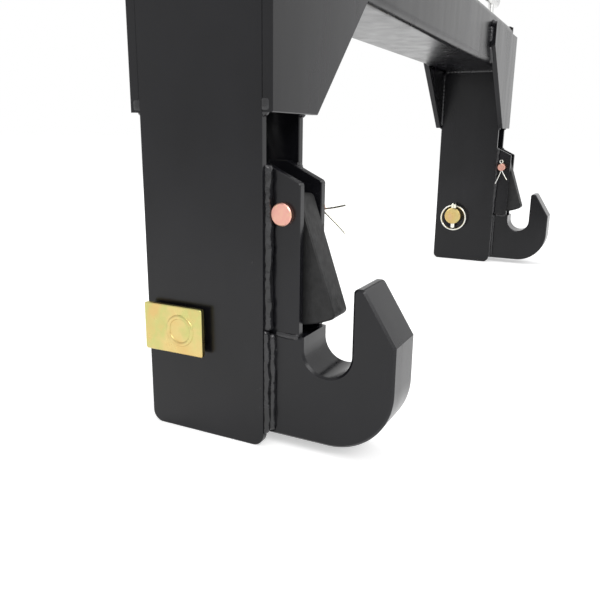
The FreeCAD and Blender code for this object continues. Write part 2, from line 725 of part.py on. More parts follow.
# ---------------------------------------------------------------- release rods
def make_release_rod(label, side):
    """Bent round rod: a hooked foot in the pawl's slot, a joggle, and a closed loop to pull."""
    body = new_body()
    bent_bar(body, [(f"-{side} * rod_hook", "pivot_level"), (f"{side} * rod_side", "pivot_level"),
                    (f"{side} * rod_side", "pivot_level + joggle_low"),
                    ("0", "pivot_level + joggle_low + joggle_high"), ("0", HANDLE_LEVEL)],
             "rod_bend", "rod_dia / 2")
    top = f"{HANDLE_LEVEL} + handle_height"
    half = "handle_width / 2"
    bent_bar(body, [("0", top), (half, top), (half, HANDLE_LEVEL), (f"-{half}", HANDLE_LEVEL),
                    (f"-{half}", top), ("0", top)],
             "handle_bend", "handle_dia / 2", closed=True)
    drill(body, "XZ_Plane", "0", f"{WASHER_LEVEL} - washer_thick - retainer_dia / 2",
          "retainer_dia / 2 + pin_clear")
    place(body, leg_x(side), "leg_rear + rod_ahead")
    return node(body, label)


def make_grip(label, side):
    """Moulded sleeve on the upper bar of the pull handle."""
    half = "grip_length / 2"
    bore = "handle_dia / 2 + pin_clear"
    outer = "grip_dia / 2"
    edge = "grip_dia / 8"
    body = turned([(f"-{half}", bore), (f"-{half}", f"{outer} - {edge}"),
                   (f"-{half} + {edge}", outer), (f"{half} - {edge}", outer),
                   (half, f"{outer} - {edge}"), (half, bore)])
    place(body, leg_x(side), "leg_rear + rod_ahead", f"{HANDLE_LEVEL} + handle_height")
    return node(body, label)


def make_rod_guide(label, side):
    """Guide bush welded through both walls of the beam; the rod slides in it."""
    body = turned([("0", "rod_dia / 2 + pin_clear"), ("0", "guide_dia / 2 - pin_clear"),
                   ("beam_height + guide_above", "guide_dia / 2 - pin_clear"),
                   ("beam_height + guide_above", "rod_dia / 2 + pin_clear")], axis="V_Axis")
    place(body, leg_x(side), "leg_rear + rod_ahead", BEAM_BOTTOM)
    return node(body, label)


def make_spring_washer(label, side):
    """Flat washer on the rod under the return spring."""
    body = turned([("-washer_thick", "rod_dia / 2 + pin_clear"), ("-washer_thick", "washer_dia / 2"),
                   ("0", "washer_dia / 2"), ("0", "rod_dia / 2 + pin_clear")], axis="V_Axis")
    place(body, leg_x(side), "leg_rear + rod_ahead", WASHER_LEVEL)
    return node(body, label)


def make_spring_retainer(label, side):
    """Spring pin across the rod, under the washer."""
    pin = primitive("Cylinder", leg_x(side), "leg_rear + rod_ahead - retainer_length / 2",
                    f"{WASHER_LEVEL} - washer_thick - retainer_dia / 2", turn=ALONG_Y,
                    Radius="retainer_dia / 2", Height="retainer_length")
    return node(pin, label)


def make_return_spring(label, side):
    """Square-wire compression spring on the rod between its washer and the guide bush."""
    body = new_body()
    section = new_sketch(body, "XZ_Plane")
    seat = "spring_wire / 2 + pin_clear"
    draw_box(section, "(spring_mean - spring_wire) / 2", "(spring_mean + spring_wire) / 2",
             "pin_clear", "pin_clear + spring_wire")
    feature = body.newObject("PartDesign::AdditiveHelix", "Coil")
    feature.Profile = section
    feature.ReferenceAxis = (section, ["V_Axis"])
    feature.Mode = "height-turns-angle"
    feature.setExpression("Height", linked(f"washer_level - 2 * ({seat})"))
    feature.setExpression("Turns", linked("spring_turns"))
    doc.recompute()
    place(body, leg_x(side), "leg_rear + rod_ahead", WASHER_LEVEL)
    return node(body, label)


# ---------------------------------------------------------------- link pins
def make_lower_link_pin(label, side):
    """Turned pin through both leg plates; its stepped outer end is plug welded in the flag."""
    shank = "link_dia / 2"
    end = f"-({LEG_HALF} + link_tail)"
    shoulder = f"{LEG_HALF} + flag_standoff"
    body = turned([(end, "0"), (end, f"{shank} - pin_chamfer"), (f"{end} + pin_chamfer", shank),
                   (shoulder, shank), (shoulder, "plug_dia / 2"),
                   (f"{shoulder} + flag_thick", "plug_dia / 2"), (f"{shoulder} + flag_thick", "0")],
                  side)
    drill(body, "XY_Plane", f"{side} * ({end} + lynch_inset)", "0", "lynch_dia / 2 + pin_clear")
    place(body, leg_x(side), "leg_rear + link_ahead", "link_level")
    return node(body, label)


def make_link_flag(label, side):
    """Rectangular flag plate on the outer end of a lower link pin."""
    rear, front = "-flag_behind", "flag_length - flag_behind"
    low, high = "-flag_height / 2", "flag_height / 2"
    corners = [(rear, low), (front, low), (front, high), (rear, high)]
    body = plate(corners, "flag_thick")
    round_corners(body, 0, corners, "flag_round")
    drill(body, "YZ_Plane", "0", "0", "plug_dia / 2 + pin_clear")
    break_edges(body, 0, "edge_break")
    place(body, leg_x(side, f"{LEG_HALF} + flag_standoff + flag_thick / 2"),
          "leg_rear + link_ahead", "link_level")
    return node(body, label)


def make_lynch_pin(label, x, y, z, pin_radius):
    """Lynch pin dropped through a cross-hole: shank, and a head drilled for its ring."""
    hole_level = f"({pin_radius} + lynch_head / 2)"
    tip = f"({hole_level} - ring_mean + ring_wire / 2 + ring_tip_gap)"
    shank = "lynch_dia / 2"
    head = "lynch_head_dia / 2"
    edge = "pin_chamfer"
    body = turned([(tip, "0"), (tip, f"{shank} - {edge}"), (f"{tip} + {edge}", shank),
                   (pin_radius, shank), (pin_radius, head),
                   (f"{pin_radius} + lynch_head - {edge}", head),
                   (f"{pin_radius} + lynch_head", f"{head} - {edge}"),
                   (f"{pin_radius} + lynch_head", "0")], axis="V_Axis")
    drill(body, "XZ_Plane", "0", hole_level, "ring_hole / 2")
    place(body, x, y, z)
    return node(body, label)


def make_lynch_ring(label, x, y, z, pin_radius):
    """Wire ring hanging from the lynch pin's head round the end of the pin."""
    centre = f"{z} + {pin_radius} + lynch_head / 2 - ring_mean / 2"
    loop = primitive("Torus", x, y, centre, turn=ALONG_X,
                     Radius1="ring_mean / 2", Radius2="ring_wire / 2")
    return node(loop, label)


def make_top_link_pin():
    """Headed pin through both mast plates, with a lynch pin at its right-hand end."""
    shank = "top_link_dia / 2"
    face = "(mast_gap / 2 + mast_thick)"
    end = f"({face} + top_link_tail)"
    head = "top_link_head_dia / 2"
    body = turned([(f"-({face} + top_link_head)", "0"),
                   (f"-({face} + top_link_head)", f"{head} - pin_chamfer"),
                   (f"-({face} + top_link_head) + pin_chamfer", head), (f"-{face}", head),
                   (f"-{face}", shank), (f"{end} - pin_chamfer", shank),
                   (end, f"{shank} - pin_chamfer"), (end, "0")])
    drill(body, "XY_Plane", f"{end} - lynch_inset", "0", "lynch_dia / 2 + pin_clear")
    place(body, "0", "leg_rear + top_link_ahead", TOP_LINK_LEVEL)
    return node(body, "top_link_pin")


# ---------------------------------------------------------------- mast and top hook
def make_mast_plate(label, side):
    """Upright plate welded on the beam: a bolt row at the rear and two top link holes."""
    sloped = [("0", f"{MAST_TOP} - mast_slope_start"), ("mast_slope_run", MAST_TOP),
              ("leg_depth - mast_front_run", MAST_TOP),
              ("leg_depth", f"{MAST_TOP} - mast_front_drop")]
    body = plate([("0", BEAM_TOP), *sloped, ("leg_depth", BEAM_TOP)], "mast_thick")
    round_corners(body, 0, sloped, "mast_round")
    for index in range(3):
        drill(body, "YZ_Plane", "bolt_ahead", f"{BOLT_LOW} + {index} * bolt_pitch",
              "bolt_dia / 2 + bolt_clear")
    for index in range(2):
        drill(body, "YZ_Plane", "top_link_ahead", f"{TOP_LINK_LEVEL} - {index} * top_link_pitch",
              "top_link_dia / 2 + pin_clear")
    break_edges(body, 0, "edge_break")
    place(body, f"{side} * (mast_gap + mast_thick) / 2", "leg_rear")
    return node(body, label)


def make_top_hook():
    """Thick hook between the mast plates: a bolted shank over the beam and an open U throat."""
    seat = TOP_SEAT
    half = "top_throat_width / 2"
    back = f"-(throat_back + {half} + top_hook_wall)"
    under = f"{BEAM_TOP} + top_hook_seat_gap"
    tip_top = f"{seat} + top_hook_rise"
    inner_wall = f"-throat_back - {half}"
    front_wall = f"-throat_back + {half}"
    heel = (back, under)
    tip = [(f"{back} + top_hook_slope", tip_top), (inner_wall, tip_top)]
    shank_top = f"{BOLT_LOW} + bolt_pitch + top_hook_shank"
    body = plate([("top_hook_front", under), heel, (back, f"{tip_top} - top_hook_slope_rise"), *tip,
                  (inner_wall, seat), (front_wall, seat), (front_wall, shank_top),
                  ("top_hook_front", shank_top)], "top_hook_thick")
    drill(body, "YZ_Plane", "-throat_back", seat, half)
    back_height = f"({tip_top} - top_hook_slope_rise - {under})"
    round_corners(body, 0, [heel], f"min(top_hook_heel; 0.96 * {back_height})")
    round_corners(body, 0, tip, "hook_tip_round")
    for index in range(2):
        drill(body, "YZ_Plane", "bolt_ahead", f"{BOLT_LOW} + {index} * bolt_pitch",
              "bolt_dia / 2 + bolt_clear")
    break_edges(body, 0, "top_hook_edge")
    place(body, "0", "leg_rear")
    return node(body, "top_hook")


def bolt_rows(build):
    """One item from build(level) at each of the two bolts."""
    return [build(f"{BOLT_LOW} + {index} * bolt_pitch") for index in range(2)]


def make_bolts():
    """Hex bolts through the mast plates and the top hook, heads on the left."""
    start = f"-({MAST_HALF} + shim_thick)"
    length = "2 * (mast_gap / 2 + mast_thick + shim_thick) + nut_height + bolt_end"

    def bolt(level):
        head = primitive("Prism", f"{start} - bolt_head", "leg_rear + bolt_ahead", level,
                         turn=ALONG_X, Circumradius="bolt_flats / 2 / cos(30)",
                         Height="bolt_head")
        shank = primitive("Cylinder", f"{start} - bolt_head / 2", "leg_rear + bolt_ahead", level,
                          turn=ALONG_X, Radius="bolt_dia / 2", Height=f"{length} + bolt_head / 2")
        return fuse([head, shank])

    return node(group(bolt_rows(bolt)), "top_hook_bolts")


def make_nuts():
    """Hex nuts on the bolts' right-hand ends."""
    def nut(level):
        x = f"{MAST_HALF} + shim_thick"
        block = primitive("Prism", x, "leg_rear + bolt_ahead", level, turn=ALONG_X,
                          Circumradius="bolt_flats / 2 / cos(30)", Height="nut_height")
        bore = primitive("Cylinder", f"{x} - 1", "leg_rear + bolt_ahead", level, turn=ALONG_X,
                         Radius="bolt_dia / 2 + pin_clear", Height="nut_height + 2")
        return cut(block, bore)

    return node(group(bolt_rows(nut)), "top_hook_nuts")


def make_washers(label, centre, length):
    """Washers or spacers on both bolts, one each side at X = centre either way."""
    def pair(level):
        items = []
        for side in (-1, 1):
            item = ring("shim_dia / 2", "bolt_dia / 2 + bolt_clear", length)
            place(item, f"{side} * ({centre})", "leg_rear + bolt_ahead", level)
            items.append(item)
        return items

    return node(group([item for items in bolt_rows(pair) for item in items]), label)


# ---------------------------------------------------------------- assembly
def build():
    """Make every sub-part."""
    fill_sheet()
    make_cross_beam()
    for name, side in (("left", -1), ("right", 1)):
        make_leg_plate(f"{name}_outer_leg_plate", side, outer=True)
        make_leg_plate(f"{name}_inner_leg_plate", side, outer=False)
        make_gusset(f"{name}_rear_gusset", side, front=False)
        make_gusset(f"{name}_front_gusset", side, front=True)
        make_lower_hook(f"{name}_lower_hook", side)
        make_latch_ears(f"{name}_latch_ears", side)
        make_stop_bar(f"{name}_latch_stop", side)
        make_hook_welds(f"{name}_hook_welds", side)
        make_latch_pawl(f"{name}_latch_pawl", side)
        make_pivot_pin(f"{name}_latch_pivot_pin", side, f"cotter_turn_{name}")
        make_cotter(f"{name}_latch_cotter", side, f"cotter_turn_{name}")
        make_release_rod(f"{name}_release_rod", side)
        make_grip(f"{name}_handle_grip", side)
        make_rod_guide(f"{name}_rod_guide", side)
        make_spring_washer(f"{name}_spring_washer", side)
        make_spring_retainer(f"{name}_spring_retainer", side)
        make_return_spring(f"{name}_return_spring", side)
        make_lower_link_pin(f"{name}_lower_link_pin", side)
        make_link_flag(f"{name}_link_pin_flag", side)
        lynch = (leg_x(side, f"lynch_inset - {LEG_HALF} - link_tail"), "leg_rear + link_ahead",
                 "link_level", "link_dia / 2")
        make_lynch_pin(f"{name}_lynch_pin", *lynch)
        make_lynch_ring(f"{name}_lynch_ring", *lynch)
        make_mast_plate(f"{name}_mast_plate", side)
    make_top_hook()
    make_bolts()
    make_nuts()
    make_washers("top_hook_washers", f"{MAST_HALF} + shim_thick / 2", "shim_thick")
    spacer = "(mast_gap - top_hook_thick) / 2"
    make_washers("top_hook_spacers", f"top_hook_thick / 2 + {spacer} / 2",
                 f"{spacer} - 2 * spacer_play")
    make_top_link_pin()
    lynch = (f"{MAST_HALF} + top_link_tail - lynch_inset", "leg_rear + top_link_ahead",
             TOP_LINK_LEVEL, "top_link_dia / 2")
    make_lynch_pin("top_link_lynch_pin", *lynch)
    make_lynch_ring("top_link_lynch_ring", *lynch)
    doc.recompute()


def check():
    """Stop if any object failed or any sub-part is not made of valid closed solids."""
    for item in doc.Objects:
        if "Invalid" in item.State or "Error" in item.State:
            raise ValueError(f"{item.Name} in {item.Label} failed: {item.State}")
    for item in NODES:
        shape = item.Shape
        if shape.isNull() or not shape.isValid() or not shape.Solids:
            raise ValueError(f"{item.Label} is not a valid solid")
        if any(not solid.isClosed() for solid in shape.Solids):
            raise ValueError(f"{item.Label} is not closed")


def export():
    """Write each sub-part to its own STEP file."""
    os.makedirs("parts", exist_ok=True)
    for item in NODES:
        item.Shape.exportStep(f"parts/{item.Label}.step")


build()
check()
export()
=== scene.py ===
"""Visual model of a category 2 three point quick hitch: paint, weld beads, plated hardware, studio."""
import json
import logging
import math
import random
from dataclasses import dataclass
from enum import Enum

import bmesh
import bpy
from mathutils import Matrix, Vector, noise


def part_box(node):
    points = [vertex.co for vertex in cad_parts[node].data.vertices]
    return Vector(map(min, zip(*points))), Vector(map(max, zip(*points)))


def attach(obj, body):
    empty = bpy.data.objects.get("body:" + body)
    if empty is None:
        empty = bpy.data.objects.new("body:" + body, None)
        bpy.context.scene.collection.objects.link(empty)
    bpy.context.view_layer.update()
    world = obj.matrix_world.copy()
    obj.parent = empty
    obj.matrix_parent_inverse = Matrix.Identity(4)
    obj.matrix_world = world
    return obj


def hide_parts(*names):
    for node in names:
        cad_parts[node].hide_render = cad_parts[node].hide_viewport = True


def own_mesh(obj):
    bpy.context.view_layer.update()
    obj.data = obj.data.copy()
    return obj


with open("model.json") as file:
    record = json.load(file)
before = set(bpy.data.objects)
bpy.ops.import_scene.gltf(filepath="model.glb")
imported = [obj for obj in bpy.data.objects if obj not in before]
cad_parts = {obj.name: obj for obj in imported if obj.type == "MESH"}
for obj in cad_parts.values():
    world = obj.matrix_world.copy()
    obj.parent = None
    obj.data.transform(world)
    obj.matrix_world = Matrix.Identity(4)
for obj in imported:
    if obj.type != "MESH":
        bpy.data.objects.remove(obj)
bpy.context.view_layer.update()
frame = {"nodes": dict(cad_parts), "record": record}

LOG = logging.getLogger("quick_hitch")
MM = 0.001

Triple = tuple[float, float, float]
Quad = tuple[float, float, float, float]
Colour = Triple
Socket = bpy.types.NodeSocket
Material = bpy.types.Material
Thing = bpy.types.Object


def mm(x: float, y: float, z: float) -> Vector:
    """A point or vector given in millimetres, as metres."""
    return Vector((x, y, z)) * MM


def add_thing(name: str, data: bpy.types.ID) -> Thing:
    """Adds an object to the scene.

    Args:
        name: Name of the object.
        data: Its mesh, lamp or camera.

    Returns:
        The new object.
    """
    thing = bpy.data.objects.new(name, data)
    bpy.context.scene.collection.objects.link(thing)
    return thing


def joint(name: str) -> dict:
    """The record's entry for a joint."""
    return next(entry for entry in frame["record"]["behaviour"]["joints"] if entry["name"] == name)


@dataclass(frozen=True)
class Span:
    """Box of a CAD node in millimetres, with X counted outwards from the middle of the hitch."""

    near: float
    far: float
    rear: float
    front: float
    bottom: float
    top: float

    @classmethod
    def of(cls, node: str) -> "Span":
        """Measures a CAD node that lies on one side of the middle, or evenly about it.

        Args:
            node: Name of the node.

        Returns:
            Its box, to a hundredth of a millimetre.
        """
        low, high = ([round(value / MM, 2) for value in corner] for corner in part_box(node))
        near, far = sorted((abs(low[0]), abs(high[0])))
        return cls(near, far, low[1], high[1], low[2], high[2])


# ---------------------------------------------------------------- named options
class Side(Enum):
    """The two legs of the hitch, seen from the implement behind."""

    LEFT = "left"
    RIGHT = "right"

    @property
    def sign(self) -> int:
        """-1 on the left, +1 on the right."""
        return -1 if self is Side.LEFT else 1

    def node(self, piece: str) -> str:
        """Name of this side's CAD node for a piece."""
        return f"{self.value}_{piece}"


class Body(Enum):
    """Fixed body that carries the welded pieces."""

    FRAME = "frame"


class Slot(Enum):
    """Material slots of the record."""

    BLACK_PAINT = "black_paint"
    WELD_BLACK = "weld_black"
    LATCH_BLACK = "latch_black"
    YELLOW_ZINC = "yellow_zinc"
    BRIGHT_ZINC = "bright_zinc"
    ROD_ZINC = "rod_zinc"
    SPRING_STEEL = "spring_steel"
    GRIP_VINYL = "grip_vinyl"


# ---------------------------------------------------------------- node tree helper
class ShaderTree:
    """Node tree of one material, with its principled shader ready."""

    def __init__(self, name: str) -> None:
        """Makes an empty node material.

        Args:
            name: Name of the material.
        """
        self.material = bpy.data.materials.new(name)
        self.material.use_nodes = True
        self.tree = self.material.node_tree
        self.tree.nodes.clear()
        self.output = self.node("ShaderNodeOutputMaterial")
        self.shader = self.node("ShaderNodeBsdfPrincipled")
        self.link(self.shader.outputs["BSDF"], self.output.inputs["Surface"])
        self.place = self.node("ShaderNodeTexCoord").outputs["Object"]

    def node(self, kind: str, **settings: object) -> bpy.types.Node:
        """Adds a node.

        Args:
            kind: Blender's name of the node type.
            **settings: Node properties to set.

        Returns:
            The new node.
        """
        made = self.tree.nodes.new(kind)
        for key, value in settings.items():
            setattr(made, key, value)
        return made

    def link(self, source: Socket, target: Socket) -> None:
        """Links an output socket to an input socket."""
        self.tree.links.new(source, target)

    def stretched(self, scale: Triple) -> Socket:
        """Object coordinates scaled by axis.

        Args:
            scale: Factors along X, Y and Z.

        Returns:
            The scaled vector's socket.
        """
        mapping = self.node("ShaderNodeMapping")
        mapping.inputs["Scale"].default_value = scale
        self.link(self.place, mapping.inputs["Vector"])
        return mapping.outputs["Vector"]

    def noise(self, per_metre: float, detail: float = 3.0, rough: float = 0.5,
              place: Socket | None = None) -> Socket:
        """Adds noise over the object's own coordinates.

        Args:
            per_metre: Noise cells in a metre.
            detail: Octaves.
            rough: Weight of the finer octaves.
            place: Coordinates to use, or None for the object's.

        Returns:
            The noise value's socket, about 0 to 1.
        """
        made = self.node("ShaderNodeTexNoise")
        made.inputs["Scale"].default_value = per_metre
        made.inputs["Detail"].default_value = detail
        made.inputs["Roughness"].default_value = rough
        self.link(place or self.place, made.inputs["Vector"])
        return made.outputs["Fac"]

    def ramp(self, value: Socket, stops: tuple[tuple[float, Colour], ...]) -> Socket:
        """Turns a value into a colour.

        Args:
            value: Input socket.
            stops: Pairs of position and colour, in order.

        Returns:
            The colour's socket.
        """
        made = self.node("ShaderNodeValToRGB")
        marks = made.color_ramp.elements
        while len(marks) < len(stops):
            marks.new(0.5)
        for mark, (position, colour) in zip(marks, stops):
            mark.position = position
            mark.color = (*colour, 1.0)
        self.link(value, made.inputs["Fac"])
        return made.outputs["Color"]

    def between(self, value: Socket, low: float, high: float) -> Socket:
        """Maps a value of 0.25 to 0.75 to a range.

        Args:
            value: Input socket.
            low: Result at 0.25.
            high: Result at 0.75.

        Returns:
            The mapped value's socket.
        """
        made = self.node("ShaderNodeMapRange")
        made.inputs["From Min"].default_value = 0.25
        made.inputs["From Max"].default_value = 0.75
        made.inputs["To Min"].default_value = low
        made.inputs["To Max"].default_value = high
        self.link(value, made.inputs["Value"])
        return made.outputs["Result"]

    def bump(self, height: Socket, depth: float, strength: float = 1.0,
             below: Socket | None = None) -> Socket:
        """Adds a bump.

        Args:
            height: Height socket, 0 to 1.
            depth: Depth in metres of a height of 1.
            strength: Weight of the bump.
            below: Normal socket to build on, or None.

        Returns:
            The normal's socket.
        """
        made = self.node("ShaderNodeBump")
        made.inputs["Strength"].default_value = strength
        made.inputs["Distance"].default_value = depth
        self.link(height, made.inputs["Height"])
        if below is not None:
            self.link(below, made.inputs["Normal"])
        return made.outputs["Normal"]

    def mottle(self, value: Socket, dark: Colour, light: Colour, start: float) -> None:
        """Feeds the base colour, from dark to light.

        Args:
            value: Input socket.
            dark: Colour up to the start.
            light: Colour from 0.7 on.
            start: Value at which the light colour sets in.
        """
        self.feed("Base Color", self.ramp(value, ((start, dark), (0.7, light))))

    def gloss(self, per_metre: float, detail: float, low: float, high: float) -> None:
        """Feeds the roughness with noise.

        Args:
            per_metre: Noise cells in a metre.
            detail: Octaves.
            low: Roughness of the glossy patches.
            high: Roughness of the dull patches.
        """
        self.feed("Roughness", self.between(self.noise(per_metre, detail), low, high))

    def set(self, **values: object) -> None:
        """Sets the shader's own sockets by name, with underscores for spaces."""
        for key, value in values.items():
            self.shader.inputs[key.replace("_", " ")].default_value = value

    def feed(self, socket: str, source: Socket) -> None:
        """Links a source to one of the shader's sockets."""
        self.link(source, self.shader.inputs[socket])


# ---------------------------------------------------------------- finishes
PAINT_IOR = 1.5


@dataclass(frozen=True)
class PaintFinish:
    """Sprayed black enamel: faint cloudiness, orange peel and soft vertical sags."""

    name: str
    dark: Colour = (0.0042, 0.0042, 0.0053)
    light: Colour = (0.0082, 0.0082, 0.0104)
    gloss_low: float = 0.19
    gloss_high: float = 0.29
    specular: float = 0.32
    cloud_per_metre: float = 14.0
    streak_per_metre: float = 9.0
    streak_stretch: Triple = (5.0, 5.0, 0.6)
    sag_per_metre: float = 16.0
    sag_stretch: Triple = (4.0, 4.0, 1.0)
    sag_depth: float = 0.00022
    peel_per_metre: float = 620.0
    peel_depth: float = 0.00004

    def build(self) -> Material:
        """Builds the paint's material.

        Returns:
            The node material.
        """
        tree = ShaderTree(self.name)
        tree.mottle(tree.noise(self.cloud_per_metre, 3.0), self.dark, self.light, 0.3)
        streak = tree.noise(self.streak_per_metre, 2.0, 0.5, tree.stretched(self.streak_stretch))
        tree.feed("Roughness", tree.between(streak, self.gloss_low, self.gloss_high))
        sag = tree.noise(self.sag_per_metre, 1.0, 0.4, tree.stretched(self.sag_stretch))
        normal = tree.bump(sag, self.sag_depth, 0.5)
        peel = tree.noise(self.peel_per_metre, 1.0)
        tree.feed("Normal", tree.bump(peel, self.peel_depth, 0.5, normal))
        tree.set(Specular_IOR_Level=self.specular, IOR=PAINT_IOR)
        return tree.material


@dataclass(frozen=True)
class WeldFinish:
    """Weld metal under the same enamel: thick, glossy paint over fine ripples and pits."""

    name: str
    dark: Colour = (0.006, 0.006, 0.007)
    light: Colour = (0.020, 0.020, 0.023)
    gloss_low: float = 0.08
    gloss_high: float = 0.24
    specular: float = 0.55
    ripple_per_metre: float = 330.0
    ripple_depth: float = 0.0004
    grain_per_metre: float = 1400.0
    grain_depth: float = 0.00005

    def build(self) -> Material:
        """Builds the painted weld's material.

        Returns:
            The node material.
        """
        tree = ShaderTree(self.name)
        tree.mottle(tree.noise(90.0, 3.0), self.dark, self.light, 0.35)
        tree.gloss(260.0, 2.0, self.gloss_low, self.gloss_high)
        coarse = tree.bump(tree.noise(self.ripple_per_metre, 3.0, 0.6), self.ripple_depth, 0.8)
        grain = tree.noise(self.grain_per_metre, 1.0)
        tree.feed("Normal", tree.bump(grain, self.grain_depth, 0.5, coarse))
        tree.set(Specular_IOR_Level=self.specular, IOR=PAINT_IOR)
        return tree.material


@dataclass(frozen=True)
class LatchFinish:
    """Thin matt black coat on flame-cut steel, with the torch's drag lines and small pits."""

    name: str
    dark: Colour = (0.011, 0.011, 0.0113)
    light: Colour = (0.022, 0.022, 0.0223)
    gloss_low: float = 0.46
    gloss_high: float = 0.66
    specular: float = 0.35
    drag_per_metre: float = 60.0
    drag_stretch: Triple = (1.0, 8.0, 8.0)
    drag_depth: float = 0.00012
    pits_per_metre: float = 420.0
    pit_radius: float = 0.45
    pit_depth: float = 0.0004
    cloud_depth: float = 0.0003

    def build(self) -> Material:
        """Builds the latch's material.

        Returns:
            The node material.
        """
        tree = ShaderTree(self.name)
        cloud = tree.noise(120.0, 4.0, 0.65)
        tree.mottle(cloud, self.dark, self.light, 0.35)
        tree.gloss(200.0, 3.0, self.gloss_low, self.gloss_high)
        drag = tree.noise(self.drag_per_metre, 2.0, 0.5, tree.stretched(self.drag_stretch))
        pits = tree.node("ShaderNodeTexVoronoi", feature="F1")
        pits.inputs["Scale"].default_value = self.pits_per_metre
        tree.link(tree.place, pits.inputs["Vector"])
        pit = tree.node("ShaderNodeMapRange")
        pit.inputs["From Max"].default_value = self.pit_radius
        tree.link(pits.outputs["Distance"], pit.inputs["Value"])
        normal = tree.bump(drag, self.drag_depth, 0.6)
        normal = tree.bump(pit.outputs["Result"], self.pit_depth, 0.25, normal)
        tree.feed("Normal", tree.bump(cloud, self.cloud_depth, 0.6, normal))
        tree.set(Specular_IOR_Level=self.specular, IOR=PAINT_IOR)
        return tree.material


@dataclass(frozen=True)
class ZincFinish:
    """Zinc plate: bare or with a yellow chromate film whose colour drifts across the surface."""

    name: str
    stops: tuple[tuple[float, Colour], ...]
    drift_per_metre: float = 26.0
    gloss_low: float = 0.24
    gloss_high: float = 0.42
    scratch_per_metre: float = 180.0
    scratch_stretch: Triple = (1.0, 1.0, 9.0)
    scratch_depth: float = 0.00006
    grain_per_metre: float = 2200.0
    grain_depth: float = 0.00003

    def build(self) -> Material:
        """Builds the plating's material.

        Returns:
            The node material.
        """
        tree = ShaderTree(self.name)
        tree.feed("Base Color", tree.ramp(tree.noise(self.drift_per_metre, 4.0, 0.55), self.stops))
        tree.gloss(150.0, 3.0, self.gloss_low, self.gloss_high)
        grain = tree.bump(tree.noise(self.grain_per_metre, 1.0), self.grain_depth, 0.4)
        scratch = tree.noise(self.scratch_per_metre, 2.0, 0.6, tree.stretched(self.scratch_stretch))
        tree.feed("Normal", tree.bump(scratch, self.scratch_depth, 0.4, grain))
        tree.set(Metallic=1.0)
        return tree.material


@dataclass(frozen=True)
class SpringFinish:
    """Oil-tempered spring wire with a thin blue-grey scale."""

    name: str
    dark: Colour = (0.10, 0.10, 0.11)
    light: Colour = (0.26, 0.26, 0.28)
    scale_per_metre: float = 240.0
    scale_depth: float = 0.00004

    def build(self) -> Material:
        """Builds the wire's material.

        Returns:
            The node material.
        """
        tree = ShaderTree(self.name)
        scale = tree.noise(self.scale_per_metre, 4.0, 0.6)
        tree.mottle(scale, self.dark, self.light, 0.35)
        tree.gloss(400.0, 2.0, 0.30, 0.50)
        tree.feed("Normal", tree.bump(scale, self.scale_depth, 0.5))
        tree.set(Metallic=1.0)
        return tree.material


@dataclass(frozen=True)
class VinylFinish:
    """Dipped vinyl: matt, faintly pebbled and slightly uneven."""

    name: str
    dark: Colour = (0.010, 0.010, 0.010)
    light: Colour = (0.020, 0.020, 0.020)
    specular: float = 0.45
    pebbles_per_metre: float = 1500.0
    pebble_depth: float = 0.00008
    dents_per_metre: float = 70.0
    dent_depth: float = 0.0004

    def build(self) -> Material:
        """Builds the grip's material.

        Returns:
            The node material.
        """
        tree = ShaderTree(self.name)
        tree.mottle(tree.noise(60.0, 3.0), self.dark, self.light, 0.3)
        tree.gloss(300.0, 2.0, 0.42, 0.60)
        pebble = tree.bump(tree.noise(self.pebbles_per_metre, 2.0), self.pebble_depth, 0.6)
        dent = tree.noise(self.dents_per_metre, 1.0)
        tree.feed("Normal", tree.bump(dent, self.dent_depth, 0.4, pebble))
        tree.set(Specular_IOR_Level=self.specular)
        return tree.material


GOLD = (0.60, 0.43, 0.17)
STRAW = (0.60, 0.48, 0.20)
MOSS = (0.50, 0.48, 0.18)
ROSE = (0.64, 0.42, 0.26)
PALE = (0.78, 0.76, 0.62)
STEEL = (0.66, 0.66, 0.66)
SILVER = (0.82, 0.82, 0.80)


CHROMATE_DRIFT = ((0.30, ROSE), (0.40, GOLD), (0.50, STRAW), (0.58, MOSS), (0.68, GOLD))
ROSE_DRIFT = ((0.30, (0.74, 0.44, 0.33)), (0.50, (0.72, 0.37, 0.31)), (0.70, (0.72, 0.50, 0.32)))
BRIGHT_DRIFT = ((0.35, SILVER), (0.65, PALE))
ROD_DRIFT = ((0.35, STEEL), (0.65, SILVER))


class FinishBook:
    """Every finish of the hitch, by the record's material slot."""

    def __init__(self) -> None:
        """Builds the materials once."""
        finishes = {
            Slot.BLACK_PAINT: PaintFinish("black_enamel"),
            Slot.WELD_BLACK: WeldFinish("enamelled_weld"),
            Slot.LATCH_BLACK: LatchFinish("matt_latch"),
            Slot.YELLOW_ZINC: ZincFinish("yellow_zinc_plate", CHROMATE_DRIFT),
            Slot.BRIGHT_ZINC: ZincFinish("bright_zinc_plate", BRIGHT_DRIFT, 60.0, 0.18, 0.32),
            Slot.ROD_ZINC: ZincFinish("rod_zinc_plate", ROD_DRIFT, 40.0),
            Slot.SPRING_STEEL: SpringFinish("spring_wire"),
            Slot.GRIP_VINYL: VinylFinish("dipped_vinyl"),
        }
        self.materials = {slot: finish.build() for slot, finish in finishes.items()}
        self.rose_zinc = ZincFinish("rose_zinc_plate", ROSE_DRIFT, 120.0, 0.30, 0.42).build()

    def dress(self, thing: Thing, slot: Slot, material: Material | None = None) -> None:
        """Gives a piece its finish, the slot's own material unless another is given.

        Args:
            thing: The piece.
            slot: Its material slot in the record.
            material: Material to use, or None for the slot's own.
        """
        thing.data.materials.clear()
        thing.data.materials.append(material or self.materials[slot])


